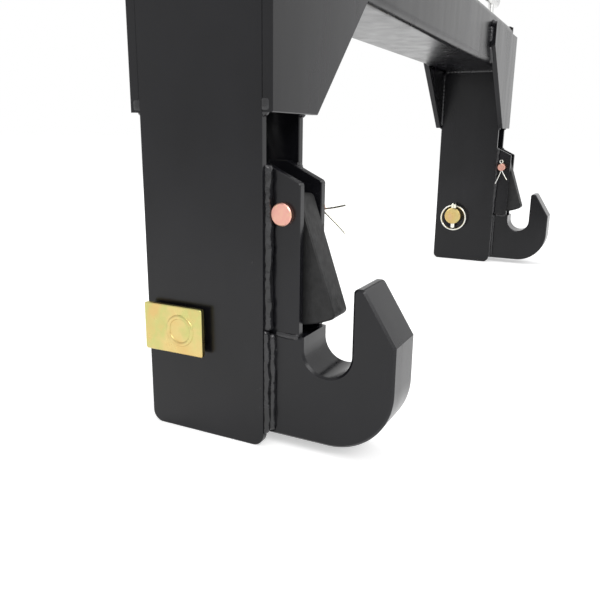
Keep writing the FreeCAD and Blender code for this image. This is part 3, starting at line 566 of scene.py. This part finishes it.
# ---------------------------------------------------------------- mesh building
class Piece:
    """A mesh object in the making, in the row frame."""

    def __init__(self, name: str) -> None:
        """Starts an empty mesh.

        Args:
            name: Name of the piece.
        """
        self.name = name
        self.bm = bmesh.new()

    def skin(self, rings: list[list[Vector]], closed: bool = False, caps: bool = True) -> None:
        """Joins rings of points into a tube.

        Args:
            rings: Rings of equally many points, in order along the tube.
            closed: True if the last ring joins the first.
            caps: True to close both ends of an open tube.
        """
        made = [[self.bm.verts.new(point) for point in points] for points in rings]
        count = len(made[0])
        pairs = list(zip(made, made[1:]))
        if closed:
            pairs.append((made[-1], made[0]))
        for first, second in pairs:
            for i in range(count):
                j = (i + 1) % count
                self.bm.faces.new((first[i], first[j], second[j], second[i]))
        if caps and not closed:
            self.bm.faces.new(list(reversed(made[0])))
            self.bm.faces.new(made[-1])

    def finish(self, book: FinishBook, slot: Slot, body: str, sharp_degrees: float = 40.0) -> Thing:
        """Makes the object, shades it, dresses it and sets it on its body.

        Args:
            book: The finishes.
            slot: Material slot of the piece.
            body: CAD body that carries it.
            sharp_degrees: Edges sharper than this stay sharp.

        Returns:
            The new object.
        """
        bmesh.ops.recalc_face_normals(self.bm, faces=self.bm.faces)
        mesh = bpy.data.meshes.new(self.name)
        self.bm.to_mesh(mesh)
        self.bm.free()
        for polygon in mesh.polygons:
            polygon.use_smooth = True
        mesh.set_sharp_from_angle(angle=math.radians(sharp_degrees))
        thing = add_thing(self.name, mesh)
        book.dress(thing, slot)
        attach(thing, body)
        LOG.info("%s: %d faces on %s", self.name, len(mesh.polygons), body)
        return thing


def walk(path: list[Vector], step: float, closed: bool = False) -> list[tuple[Vector, Vector, float]]:
    """Points at even steps along straight runs.

    Args:
        path: Corners of the path, in metres.
        step: Distance between points.
        closed: True if the path returns to its start.

    Returns:
        A list of point, unit tangent and distance from the start.
    """
    corners = path + [path[0]] if closed else path
    found = []
    travelled = 0.0
    for start, end in zip(corners, corners[1:]):
        length = (end - start).length
        tangent = (end - start).normalized()
        count = max(1, round(length / step))
        for i in range(count):
            found.append((start.lerp(end, i / count), tangent, travelled + length * i / count))
        travelled += length
    if not closed:
        found.append((corners[-1], (corners[-1] - corners[-2]).normalized(), travelled))
    return found


@dataclass(frozen=True)
class BeadSize:
    """Section and grain of a weld run, in millimetres; lumps is the weight of its lumpiness."""

    width: float
    height: float
    pitch: float
    lumps: float


EAR_RUN = BeadSize(7.8, 3.3, 9.5, 0.42)
HOOK_EDGE_RUN = BeadSize(6.4, 3.0, 7.5, 0.36)
HOOK_FACE_RUN = BeadSize(6.2, 2.9, 7.5, 0.36)
EAR_FOOT_RUN = BeadSize(4.6, 1.7, 5.0, 0.5)
GUSSET_FOOT_RUN = BeadSize(7.0, 3.0, 4.0, 0.4)
GUSSET_TACK = BeadSize(6.0, 0.9, 4.0, 0.4)
GUSSET_LEG_RUN = BeadSize(6.5, 3.0, 6.0, 0.2)
GUSSET_EDGE_RUN = BeadSize(7.5, 3.6, 6.0, 0.16)
GUSSET_SLOPE_RUN = BeadSize(7.0, 3.4, 6.0, 0.16)
BEAM_CAP_RUN = BeadSize(7.0, 1.6, 6.0, 0.2)
BEAM_UNDER_RUN = BeadSize(6.5, 3.0, 6.0, 0.18)
BEAM_INSIDE_RUN = BeadSize(6.0, 2.8, 6.0, 0.18)
GUIDE_RING = BeadSize(6.0, 2.6, 4.2, 0.22)
PLUG_RING = BeadSize(3.4, 0.9, 4.2, 0.22)
MAST_OUTER_RUN = BeadSize(9.0, 4.4, 6.5, 0.15)
MAST_INNER_RUN = BeadSize(6.5, 3.0, 6.5, 0.15)
MAST_FRONT_RUN = BeadSize(6.5, 1.8, 5.5, 0.2)


LUMPS_PER_METRE = 95.0
GRAINS_PER_METRE = 420.0


@dataclass
class WeldBead:
    """One run of weld: a dome over a path, with overlapping ripples, lumps and rounded ends."""

    path: list[Vector]
    out: Vector
    size: BeadSize
    seed: int = 1
    step: float = 0.0009
    around: int = 14
    closed: bool = False

    def swell(self, travelled: float, length: float, angle: float) -> float:
        """Scale of the dome at a place on the bead.

        Args:
            travelled: Distance from the bead's start.
            length: Length of the bead.
            angle: Place round the dome, in radians from one foot to the other.

        Returns:
            The factor on the dome's radius.
        """
        phase = travelled / (self.size.pitch * MM) + 0.45 * math.sin(angle) + self.seed * 0.37
        ripple = abs(math.sin(math.pi * phase)) ** 0.7
        lump = noise.noise(Vector((travelled * LUMPS_PER_METRE, angle * 0.6, self.seed * 7.3)))
        fine = noise.noise(Vector((travelled * GRAINS_PER_METRE, angle * 1.9, self.seed * 3.1)))
        ends = 1.0
        if not self.closed:
            near = min(travelled, length - travelled) / (self.size.width * MM * 0.55)
            ends = math.sqrt(max(0.02, 1.0 - (1.0 - min(1.0, near)) ** 2))
        return ends * (0.90 + 0.13 * ripple + self.size.lumps * lump + 0.07 * fine)

    def add_to(self, piece: Piece) -> None:
        """Adds the bead's skin to a piece.

        Args:
            piece: Piece that takes the skin.
        """
        points = walk(self.path, self.step, self.closed)
        length = points[-1][2] + (self.step if self.closed else 0.0)
        rings = []
        for place, tangent, travelled in points:
            out = (self.out - tangent * self.out.dot(tangent)).normalized()
            across = tangent.cross(out)
            ring = []
            for k in range(self.around):
                angle = math.tau * k / self.around
                dome = max(0.0, math.sin(angle))
                scale = self.swell(travelled, length, angle)
                lift = self.size.height * MM * math.sin(angle) * (scale if dome else 0.5)
                spread = self.size.width * MM / 2 * math.cos(angle) * (0.85 + 0.15 * scale)
                ring.append(place + across * spread + out * lift)
            rings.append(ring)
        piece.skin(rings, self.closed)


@dataclass
class RingBead:
    """A weld bead round a circle, such as round a bush or a plug."""

    centre: Vector
    axis: Vector
    radius: float
    size: BeadSize
    lean: float = 0.0
    seed: int = 1
    turns: int = 96
    around: int = 12

    def add_to(self, piece: Piece) -> None:
        """Adds the bead's skin to a piece.

        Args:
            piece: Piece that takes the skin.
        """
        side = self.axis.orthogonal().normalized()
        other = self.axis.cross(side).normalized()
        profile = WeldBead([Vector(), self.axis], self.axis, self.size, self.seed, closed=True)
        rings = []
        for i in range(self.turns):
            turn = math.tau * i / self.turns
            radial = side * math.cos(turn) + other * math.sin(turn)
            out = (self.axis + radial * self.lean).normalized()
            across = (radial - self.axis * self.lean).normalized()
            ring = []
            for k in range(self.around):
                angle = math.tau * k / self.around
                scale = profile.swell(turn * self.radius, 1.0, angle)
                lift = self.size.height * MM * math.sin(angle) * scale
                spread = self.size.width * MM / 2 * math.cos(angle)
                ring.append(self.centre + radial * self.radius + across * spread + out * lift)
            rings.append(ring)
        piece.skin(rings, closed=True)


def tube(piece: Piece, points: list[Vector], radius: float, around: int = 12, closed: bool = False) -> None:
    """Adds a round wire through points.

    Args:
        piece: Piece that takes the wire.
        points: Centre line, close enough for a smooth wire.
        radius: Radius of the wire.
        around: Sides of the wire.
        closed: True for a ring.
    """
    count = len(points)
    rings = []
    guide = None
    for i, point in enumerate(points):
        ahead = points[(i + 1) % count] if closed or i + 1 < count else points[i]
        behind = points[i - 1] if closed or i > 0 else points[i]
        tangent = (ahead - behind).normalized()
        if guide is None:
            guide = tangent.orthogonal().normalized()
        guide = (guide - tangent * guide.dot(tangent)).normalized()
        other = tangent.cross(guide)
        ring = []
        for k in range(around):
            turn = math.tau * k / around
            ring.append(point + (guide * math.cos(turn) + other * math.sin(turn)) * radius)
        rings.append(ring)
    piece.skin(rings, closed)


# ---------------------------------------------------------------- one leg of the hitch
@dataclass
class Leg:
    """Welds, spatter and hardware of one leg; lengths in millimetres."""

    side: Side
    book: FinishBook
    ear_line: float = 22.7
    edge_line: float = 25.4
    face_line: float = 20.9
    sink: float = 0.3
    ear_run_stop: float = 1.6
    gusset_lap: float = 25.0
    plug_radius: float = 10.5
    spatter_count: int = 46
    spring_wire: float = 1.2
    spring_turns: float = 9.0
    closed_turns: float = 1.0
    closed_pitch: float = 2.05
    spring_points: int = 28

    def __post_init__(self) -> None:
        """Measures the CAD nodes that the pieces lie on; half widths count from the leg's middle."""
        self.plate = Span.of(self.side.node("outer_leg_plate"))
        self.hook = Span.of(self.side.node("lower_hook"))
        self.ears = Span.of(self.side.node("latch_ears"))
        self.welds = Span.of(self.side.node("hook_welds"))
        self.gusset = Span.of(self.side.node("rear_gusset"))
        self.beam = Span.of("cross_beam")
        self.guide = Span.of(self.side.node("rod_guide"))
        self.pin = Span.of(self.side.node("lower_link_pin"))
        self.middle = (self.hook.near + self.hook.far) / 2
        self.hook_half = (self.hook.far - self.hook.near) / 2
        self.gap_half = self.plate.near - self.middle
        self.leg_half = self.plate.far - self.middle

    def at(self, offset: float, y: float, z: float) -> Vector:
        """Point beside the leg's middle plane, the offset counted outwards, in metres."""
        return mm(self.side.sign * (self.middle + offset), y, z)

    def facing(self, outwards: float, y: float, z: float) -> Vector:
        """Unit direction, its first part counted outwards from the leg."""
        return Vector((self.side.sign * outwards, y, z)).normalized()

    def run(self, piece: Piece, places: list[Triple], out: Vector, size: BeadSize, seed: int) -> None:
        """Lays a weld run on the leg.

        Args:
            piece: Piece that takes the run.
            places: Corners of its path: offset from the leg's middle, Y and Z.
            out: Direction that its dome faces.
            size: Section and grain of the run.
            seed: Number that sets its lumps.
        """
        WeldBead([self.at(*place) for place in places], out, size, seed).add_to(piece)

    def build(self) -> None:
        """Builds every piece of the leg."""
        self.hook_and_ear_welds()
        self.gusset_welds()
        self.beam_welds()
        self.spatter()
        self.plug_weld()
        self.return_spring()

    def hook_and_ear_welds(self) -> None:
        """Runs that join the hook and the ears to the rear edges of the two leg plates."""
        piece = Piece(f"{self.side.value}_hook_and_ear_beads")
        edge = self.plate.rear - self.sink
        low = self.welds.bottom
        shoulder = self.ears.bottom
        high = self.ears.top - self.ear_run_stop
        for index, hand in enumerate((1, -1)):
            seed = 11 + index + (5 if self.side is Side.LEFT else 0)
            ear, rim, toe = (hand * line for line in (self.ear_line, self.edge_line, self.face_line))
            foot = hand * (self.hook_half - 0.4)
            self.run(piece, [(ear, edge, shoulder + 2), (ear, edge, high)],
                     self.facing(hand * 0.25, -1, 0), EAR_RUN, seed)
            self.run(piece, [(rim, edge, low), (rim, edge, shoulder + 3)],
                     self.facing(0, -1, 0), HOOK_EDGE_RUN, seed + 20)
            self.run(piece, [(toe, edge - 2.2, low + 1.5), (toe, edge - 2.2, shoulder)],
                     self.facing(hand * 0.9, -0.6, 0), HOOK_FACE_RUN, seed + 40)
            self.run(piece, [(foot, edge - 4, shoulder + 0.6), (foot, edge - 13, shoulder - 0.4),
                             (foot, self.ears.rear + 0.5, shoulder)],
                     self.facing(hand, 0, 0), EAR_FOOT_RUN, seed + 60)
        made = piece.finish(self.book, Slot.WELD_BLACK, Body.FRAME.value)
        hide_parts(self.side.node("hook_welds"))

    def gusset_welds(self) -> None:
        """Beads round the rear and front corner gussets' edges on the leg and the beam."""
        piece = Piece(f"{self.side.value}_gusset_beads")
        outer = self.leg_half
        inner = self.gusset.near - self.middle
        low = self.gusset.bottom
        high = self.gusset.top
        under = self.beam.bottom
        lap = under + self.gusset_lap
        for index, (face, away) in enumerate(((self.plate.rear, -1), (self.plate.front, 1))):
            seed = 31 + 7 * index
            for hand in (1, -1):
                self.run(piece, [(hand * (outer - 0.6), face + away * 0.5, low + 0.4),
                                 (hand * self.gap_half, face + away * 0.5, low + 0.4)],
                         self.facing(0, away, -1), GUSSET_FOOT_RUN, seed + hand)
            side = face + away * 2.5
            self.run(piece, [(outer - 0.4, side, low + 1), (outer - 0.4, side, low + 9)],
                     self.facing(1, 0, 0), GUSSET_TACK, seed + 3)
            self.run(piece, [(-outer, face + away * 0.2, low + 3), (-outer, face + away * 0.2, under - 2)],
                     self.facing(-1, -away, 0), GUSSET_LEG_RUN, seed + 4)
            self.run(piece, [(outer - 3, face, high), (inner + 8, face, high)],
                     self.facing(0, away, 1), GUSSET_EDGE_RUN, seed + 5)
            self.run(piece, [(inner, face, high - 8), (inner, face, lap + 5)],
                     self.facing(-1, away, 0), GUSSET_EDGE_RUN, seed + 6)
            self.run(piece, [(inner + 2, face, lap - 2), (inner + self.gusset_lap - 2, face, under + 2)],
                     self.facing(-0.7, away, -0.7), GUSSET_SLOPE_RUN, seed + 8)
        piece.finish(self.book, Slot.WELD_BLACK, Body.FRAME.value)

    def beam_welds(self) -> None:
        """Beads where the beam meets the leg plates and the rod's guide bush."""
        piece = Piece(f"{self.side.value}_beam_beads")
        rear, front = self.beam.rear, self.beam.front
        under, top = self.beam.bottom, self.beam.top
        gap = self.gap_half
        self.run(piece, [(gap, rear + 2, top), (gap, front - 2, top)], Vector((0, 0, 1)), BEAM_CAP_RUN, 51)
        for offset, hand, seed in ((-self.leg_half, -1, 52), (-gap, 1, 53)):
            self.run(piece, [(offset, rear + 1, under), (offset, front - 1, under)],
                     self.facing(hand, 0, -1), BEAM_UNDER_RUN, seed)
        self.run(piece, [(gap, rear + 1, under), (gap, front - 1, under)],
                 self.facing(-1, 0, -1), BEAM_INSIDE_RUN, 54)
        bush = self.at(0, (self.guide.rear + self.guide.front) / 2, top)
        radius = (self.guide.far - self.guide.near) / 2 + 0.4
        RingBead(bush, Vector((0, 0, 1)), radius * MM, GUIDE_RING, 0.6, 55).add_to(piece)
        piece.finish(self.book, Slot.WELD_BLACK, Body.FRAME.value)

    def spatter(self) -> None:
        """Small beads of weld metal stuck to the plates beside the runs, under the paint."""
        piece = Piece(f"{self.side.value}_weld_spatter")
        chance = random.Random(70 + self.side.sign)
        rear = self.plate.rear
        for index in range(self.spatter_count):
            hand = chance.choice((1, -1))
            on_ear = index % 3 != 0
            y = rear - 5 - abs(chance.gauss(0, 7.5)) if on_ear else rear + 2 + abs(chance.gauss(0, 5))
            offset = self.hook_half if on_ear else self.leg_half
            z = chance.uniform(20, 196)
            past_rear = y < self.ears.rear + 2 and z > self.ears.bottom
            above_slope = z > 196 + y * 0.5
            if on_ear and (past_rear or above_slope):
                continue
            radius = chance.uniform(0.25, 0.7) * MM
            spot = Matrix.Translation(self.at(hand * offset, y, z))
            squash = Matrix.Diagonal((0.55, 1.0, chance.uniform(0.8, 1.3), 1.0))
            bmesh.ops.create_icosphere(piece.bm, subdivisions=2, radius=radius, matrix=spot @ squash)
        piece.finish(self.book, Slot.WELD_BLACK, Body.FRAME.value)

    def plug_weld(self) -> None:
        """Flattened plug weld that joins the lower link pin to its flag."""
        piece = Piece(f"{self.side.value}_plug_weld")
        axis = Vector((self.side.sign, 0, 0))
        ahead = (self.pin.rear + self.pin.front) / 2
        level = (self.pin.bottom + self.pin.top) / 2
        centre = mm(self.side.sign * self.pin.far, ahead, level)
        RingBead(centre, axis, self.plug_radius * MM, PLUG_RING, 0.0, 61, 120).add_to(piece)
        piece.finish(self.book, Slot.YELLOW_ZINC, f"{self.side.value}_link_pin")

    def return_spring(self) -> None:
        """Round-wire compression spring with closed ends."""
        low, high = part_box(self.side.node("return_spring"))
        wire = self.spring_wire * MM
        mean = (high.x - low.x) / 2 - wire
        centre = (low + high) / 2
        room = high.z - low.z
        closed_pitch = wire * self.closed_pitch
        closed_end = wire + closed_pitch * self.closed_turns
        free_turns = self.spring_turns - 2 * self.closed_turns
        steps = int(self.spring_turns * self.spring_points)
        points = []
        for i in range(steps + 1):
            turn = self.spring_turns * i / steps
            left = self.spring_turns - turn
            if turn <= self.closed_turns:
                level = low.z + wire + closed_pitch * turn
            elif left <= self.closed_turns:
                level = high.z - wire - closed_pitch * left
            else:
                level = low.z + closed_end + (room - 2 * closed_end) * (turn - self.closed_turns) / free_turns
            angle = math.tau * turn
            x, y = centre.x + mean * math.cos(angle), centre.y + mean * math.sin(angle)
            points.append(Vector((x, y, level)))
        piece = Piece(f"{self.side.value}_spring_coil")
        tube(piece, points, wire, 10)
        made = piece.finish(self.book, Slot.SPRING_STEEL, Body.FRAME.value)
        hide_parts(self.side.node("return_spring"))
        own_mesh(made)


# ---------------------------------------------------------------- split cotters
@dataclass
class Cotter:
    """Split cotter bent from one wire: an eye, two legs through the pin, and spread ends."""

    side: Side
    book: FinishBook
    turn_degrees: float
    wire: float = 0.75
    pin_radius: float = 6.55
    eye_radius: float = 2.6
    eye_opening_degrees: float = 36.0
    spread_degrees: float = 26.0
    long_leg: float = 24.0
    short_leg: float = 18.0
    leg_bow: float = 0.35
    leg_gap: float = 0.05
    eye_overlap: float = 0.2
    straight_depths: Quad = (0.8, 4.0, 8.0, 11.0)
    leg_steps: int = 8
    eye_steps: int = 24

    @property
    def apart(self) -> float:
        """Distance of each leg's centre line from the cotter's middle."""
        return self.wire + self.leg_gap

    def spread_leg(self, length: float, hand: int) -> list[tuple[float, float]]:
        """Centre line of one spread end.

        Args:
            length: Its length.
            hand: Side that it spreads to, -1 or 1.

        Returns:
            Points in the cotter's own plane, from the pin to the tip.
        """
        slant = math.radians(self.spread_degrees)
        points = []
        for i in range(self.leg_steps + 1):
            share = i / self.leg_steps
            bow = self.leg_bow * math.sin(math.pi * share)
            points.append((self.pin_radius + length * share * math.cos(slant),
                           hand * (self.apart + length * share * math.sin(slant) - bow)))
        return points

    def centre_line(self) -> list[tuple[float, float]]:
        """Centre line of the whole wire.

        Returns:
            Points in the cotter's own plane, from the short leg's tip to the long leg's tip.
        """
        depths = [self.pin_radius - depth for depth in self.straight_depths]
        points = self.spread_leg(self.short_leg, -1)[::-1]
        points += [(depth, -self.apart) for depth in depths]
        eye_centre = -(self.pin_radius - self.eye_overlap + self.eye_radius + self.wire)
        for i in range(self.eye_steps + 1):
            swept = (360 - self.eye_opening_degrees) * i / self.eye_steps
            angle = -math.radians(self.eye_opening_degrees / 2 + swept)
            points.append((eye_centre + self.eye_radius * math.cos(angle), self.eye_radius * math.sin(angle)))
        points += [(depth, self.apart) for depth in reversed(depths)]
        return points + self.spread_leg(self.long_leg, 1)

    def build(self) -> None:
        """Builds the wire in place of the CAD cotter."""
        low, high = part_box(self.side.node("latch_cotter"))
        turn = Matrix.Rotation(math.radians(self.turn_degrees), 3, "X")
        pivot = joint(f"{self.side.value}_latch_pivot")["pos_m"]
        centre = Vector(((low.x + high.x) / 2, pivot[1], pivot[2]))
        points = [centre + turn @ mm(0, v, -u) for u, v in self.centre_line()]
        piece = Piece(f"{self.side.value}_split_cotter")
        tube(piece, points, self.wire * MM, 12)
        made = piece.finish(self.book, Slot.BRIGHT_ZINC, Body.FRAME.value)
        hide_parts(self.side.node("latch_cotter"))


COTTER_TURNS = {Side.LEFT: -76.0, Side.RIGHT: -5.5}


# ---------------------------------------------------------------- mast and top hook
HEX_LEVELS = (0.0, 0.02, 0.05, 0.08, 0.12, 0.16, 0.22, 0.5, 0.78, 0.84, 0.88, 0.92, 0.95, 0.98, 1.0)


def ring_across_x(x: float, centre: Vector, radii: list[float]) -> list[Vector]:
    """Ring of points about an axis along X.

    Args:
        x: Place along the axis.
        centre: Any point on the axis.
        radii: Radius of each point, evenly round the axis.

    Returns:
        The points, in metres.
    """
    ring = []
    for k, radius in enumerate(radii):
        turn = math.tau * k / len(radii)
        ring.append(Vector((x, centre.y + radius * math.sin(turn), centre.z + radius * math.cos(turn))))
    return ring


@dataclass
class HexFastener:
    """Hex head or nut with chamfered corners on an axis along X."""

    centre: Vector
    flats: float
    start: float
    end: float
    chamfer_start: bool
    chamfer_end: bool
    chamfer_flat: float = 0.97
    chamfer_slope: float = 1.732
    around: int = 72

    def radius(self, turn: float, depth: float) -> float:
        """Radius of the chamfered hexagon.

        Args:
            turn: Angle round the axis.
            depth: Distance in from a chamfered face.

        Returns:
            The radius at that angle and depth.
        """
        nearest = (turn + math.pi / 6) % (math.pi / 3) - math.pi / 6
        hexagon = self.flats / 2 / math.cos(nearest)
        return min(hexagon, self.flats / 2 * self.chamfer_flat + depth * self.chamfer_slope)

    def add_to(self, piece: Piece) -> None:
        """Adds the fastener's skin to a piece.

        Args:
            piece: Piece that takes the skin.
        """
        length = abs(self.end - self.start)
        rings = []
        for level in HEX_LEVELS:
            first = level * length if self.chamfer_start else length
            last = (1 - level) * length if self.chamfer_end else length
            depth = min(first, last)
            x = self.start + (self.end - self.start) * level
            radii = [self.radius(math.tau * k / self.around, depth) for k in range(self.around)]
            rings.append(ring_across_x(x, self.centre, radii))
        piece.skin(rings)


@dataclass
class ThreadedEnd:
    """Cut thread on the end of a bolt along X."""

    centre: Vector
    start: float
    end: float
    radius: float
    pitch: float = 1.5 * MM
    depth: float = 0.75 * MM
    around: int = 48

    def add_to(self, piece: Piece) -> None:
        """Adds the thread's skin to a piece.

        Args:
            piece: Piece that takes the skin.
        """
        length = abs(self.end - self.start)
        count = max(8, int(length / self.pitch * 8))
        rings = []
        for i in range(count + 1):
            travelled = length * i / count
            x = self.start + (self.end - self.start) * i / count
            ease = min(1.0, (length - travelled) / self.pitch)
            radii = []
            for k in range(self.around):
                wave = abs((travelled / self.pitch + k / self.around) % 1.0 * 2 - 1)
                radii.append(self.radius - self.depth * (1 - wave) - self.depth * (1 - ease))
            rings.append(ring_across_x(x, self.centre, radii))
        piece.skin(rings)


@dataclass
class Mast:
    """Mast plates' welds and the top hook's bolts and nuts; lengths in millimetres."""

    book: FinishBook
    bolt_radius: float = 9.525
    bolt_pitch: float = 38.1
    bolt_play: float = 0.2
    shank_points: int = 48
    inner_run_start: float = 40.0

    def __post_init__(self) -> None:
        """Measures the CAD nodes that the pieces lie on."""
        self.plate = Span.of(Side.RIGHT.node("mast_plate"))
        self.bolt = Span.of("top_hook_bolts")
        self.washer = Span.of("top_hook_washers")
        middle = (self.bolt.bottom + self.bolt.top) / 2
        levels = (middle - self.bolt_pitch / 2, middle + self.bolt_pitch / 2)
        ahead = (self.bolt.rear + self.bolt.front) / 2
        self.bolt_centres = [mm(0, ahead, level) for level in levels]
        self.flats = (self.bolt.front - self.bolt.rear) * MM

    def build(self) -> None:
        """Builds the mast's beads and fasteners."""
        self.foot_welds()
        self.bolts()
        self.nuts()

    def foot_welds(self) -> None:
        """Fillet beads along the feet of both mast plates."""
        piece = Piece("mast_foot_beads")
        level = self.plate.bottom
        rear, front = self.plate.rear, self.plate.front
        for hand in (-1, 1):
            outer = hand * self.plate.far
            line = [mm(outer, rear + 1, level), mm(outer, front - 1, level)]
            WeldBead(line, Vector((hand, 0, 1)), MAST_OUTER_RUN, 81 + hand).add_to(piece)
            inner = hand * self.plate.near
            line = [mm(inner, rear + self.inner_run_start, level), mm(inner, front - 1, level)]
            WeldBead(line, Vector((-hand, 0, 1)), MAST_INNER_RUN, 85 + hand).add_to(piece)
            line = [mm(outer, front, level - 0.4), mm(inner, front, level - 0.4)]
            WeldBead(line, Vector((0, 1, 0.2)), MAST_FRONT_RUN, 88 + hand).add_to(piece)
        piece.finish(self.book, Slot.WELD_BLACK, Body.FRAME.value)

    def bolts(self) -> None:
        """Hex bolts through the mast and the top hook's shank."""
        piece = Piece("top_hook_hex_bolts")
        low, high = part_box("top_hook_bolts")
        face = -self.washer.far * MM
        inner = self.plate.near * MM
        radius = self.bolt_radius * MM
        for centre in self.bolt_centres:
            HexFastener(centre, self.flats, low.x, face, True, False).add_to(piece)
            ends = (face + self.bolt_play * MM, inner)
            piece.skin([ring_across_x(x, centre, [radius] * self.shank_points) for x in ends])
            ThreadedEnd(centre, inner, high.x, radius).add_to(piece)
        made = piece.finish(self.book, Slot.YELLOW_ZINC, Body.FRAME.value, 28.0)
        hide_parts("top_hook_bolts")

    def nuts(self) -> None:
        """Hex nuts on the bolts' threaded ends."""
        piece = Piece("top_hook_hex_nuts")
        low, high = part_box("top_hook_nuts")
        for centre in self.bolt_centres:
            HexFastener(centre, self.flats, low.x, high.x, True, True).add_to(piece)
        made = piece.finish(self.book, Slot.YELLOW_ZINC, Body.FRAME.value, 28.0)
        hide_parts("top_hook_nuts")


# ---------------------------------------------------------------- CAD nodes that stay
@dataclass
class PackedNodes:
    """CAD nodes that keep their own shape and get a finish."""

    book: FinishBook

    def build(self) -> None:
        """Dresses every CAD node by the record's slots, with rose zinc on the latch pivot pins."""
        slots = {part["node"]: Slot(part["material_slot"]) for part in frame["record"]["subparts"]}
        rose = [side.node("latch_pivot_pin") for side in Side]
        for name, thing in frame["nodes"].items():
            self.book.dress(thing, slots[name], self.book.rose_zinc if name in rose else None)
            LOG.info("%s: CAD node in %s", name, thing.data.materials[0].name)


# ---------------------------------------------------------------- studio
@dataclass(frozen=True)
class SoftBox:
    """Square soft box lamp; lengths in metres."""

    name: str
    place: Triple
    target: Triple
    size: float
    watts: float

    def build(self) -> None:
        """Adds the lamp to the scene."""
        data = bpy.data.lights.new(self.name, "AREA")
        data.shape = "SQUARE"
        data.size = self.size
        data.energy = self.watts
        thing = add_thing(self.name, data)
        thing.location = self.place
        aim = Vector(self.target) - Vector(self.place)
        thing.rotation_euler = aim.to_track_quat("-Z", "Y").to_euler()


LAMPS = (
    SoftBox("key_box", (-1.3, -1.5, 1.7), (-0.40, -0.05, 0.12), 1.3, 24.0),
    SoftBox("rear_box", (0.6, 1.4, 1.8), (0.0, 0.0, 0.2), 1.6, 16.0),
    SoftBox("top_box", (-0.3, -0.2, 2.3), (-0.2, 0.0, 0.1), 1.0, 12.0),
)


@dataclass
class Studio:
    """White floor, even world light, soft boxes and the camera."""

    camera_place: Triple = (-0.81941, -0.22648, 0.22508)
    yaw_degrees: float = 26.75
    pitch_degrees: float = 14.45
    roll_degrees: float = -0.68
    lens_mm: float = 38.678
    sensor_mm: float = 36.0
    floor_half: float = 30.0
    white_level: float = 0.82
    floor_glow: float = 0.50
    world_level: float = 0.62

    def build(self) -> None:
        """Builds the whole studio."""
        bpy.context.scene.view_settings.view_transform = "Standard"
        self.floor()
        self.world()
        for lamp in LAMPS:
            lamp.build()
        self.camera()

    def seen_mask(self, tree: bpy.types.NodeTree) -> Socket:
        """1 for rays from the camera, from a reflection or through glass, else 0.

        Args:
            tree: Node tree that takes the nodes.

        Returns:
            The mask's socket.
        """
        rays = tree.nodes.new("ShaderNodeLightPath")
        total = rays.outputs["Is Camera Ray"]
        for name in ("Is Glossy Ray", "Is Transmission Ray"):
            add = tree.nodes.new("ShaderNodeMath")
            add.operation = "MAXIMUM"
            tree.links.new(total, add.inputs[0])
            tree.links.new(rays.outputs[name], add.inputs[1])
            total = add.outputs[0]
        return total

    def floor(self) -> None:
        """Pale floor that keeps a soft shadow and looks white."""
        bm = bmesh.new()
        bmesh.ops.create_grid(bm, x_segments=8, y_segments=8, size=self.floor_half)
        mesh = bpy.data.meshes.new("studio_floor")
        bm.to_mesh(mesh)
        bm.free()
        thing = add_thing("studio_floor", mesh)
        material = bpy.data.materials.new("studio_white")
        material.use_nodes = True
        tree = material.node_tree
        tree.nodes.clear()
        output = tree.nodes.new("ShaderNodeOutputMaterial")
        diffuse = tree.nodes.new("ShaderNodeBsdfDiffuse")
        diffuse.inputs["Color"].default_value = (self.white_level,) * 3 + (1.0,)
        glow = tree.nodes.new("ShaderNodeEmission")
        level = tree.nodes.new("ShaderNodeMath")
        level.operation = "MULTIPLY"
        level.inputs[1].default_value = self.floor_glow
        tree.links.new(self.seen_mask(tree), level.inputs[0])
        tree.links.new(level.outputs[0], glow.inputs["Strength"])
        both = tree.nodes.new("ShaderNodeAddShader")
        tree.links.new(diffuse.outputs[0], both.inputs[0])
        tree.links.new(glow.outputs[0], both.inputs[1])
        tree.links.new(both.outputs[0], output.inputs["Surface"])
        thing.data.materials.append(material)

    def world(self) -> None:
        """Even light from all round, seen as white."""
        world = bpy.data.worlds.new("studio_world")
        bpy.context.scene.world = world
        world.use_nodes = True
        tree = world.node_tree
        background = tree.nodes["Background"]
        background.inputs["Color"].default_value = (1.0, 1.0, 1.0, 1.0)
        level = tree.nodes.new("ShaderNodeMapRange")
        level.inputs["To Min"].default_value = self.world_level
        level.inputs["To Max"].default_value = 1.0
        tree.links.new(self.seen_mask(tree), level.inputs["Value"])
        tree.links.new(level.outputs["Result"], background.inputs["Strength"])

    def camera(self) -> None:
        """Camera behind and left of the left hook."""
        turns = (self.yaw_degrees, self.pitch_degrees, self.roll_degrees)
        yaw, pitch, roll = (math.radians(degrees) for degrees in turns)
        ahead = Vector((math.cos(yaw) * math.cos(pitch), math.sin(yaw) * math.cos(pitch), -math.sin(pitch)))
        level_right = Vector((math.sin(yaw), -math.cos(yaw), 0.0))
        level_down = ahead.cross(level_right)
        right = level_right * math.cos(roll) + level_down * math.sin(roll)
        down = level_down * math.cos(roll) - level_right * math.sin(roll)
        turn = Matrix((right, -down, -ahead)).transposed()
        data = bpy.data.cameras.new("studio_camera")
        data.lens = self.lens_mm
        data.sensor_width = self.sensor_mm
        data.clip_start = 0.01
        data.clip_end = 100.0
        thing = add_thing("studio_camera", data)
        thing.matrix_world = Matrix.Translation(self.camera_place) @ turn.to_4x4()
        bpy.context.scene.camera = thing


def main() -> None:
    """Builds the hitch's visual pieces and the studio in order."""
    logging.basicConfig(level=logging.INFO, format="%(name)s %(message)s")
    book = FinishBook()
    PackedNodes(book).build()
    for side in Side:
        Leg(side, book).build()
    for side, turn_degrees in COTTER_TURNS.items():
        Cotter(side, book, turn_degrees).build()
    Mast(book).build()
    Studio().build()


if __name__ == "__main__":
    main()
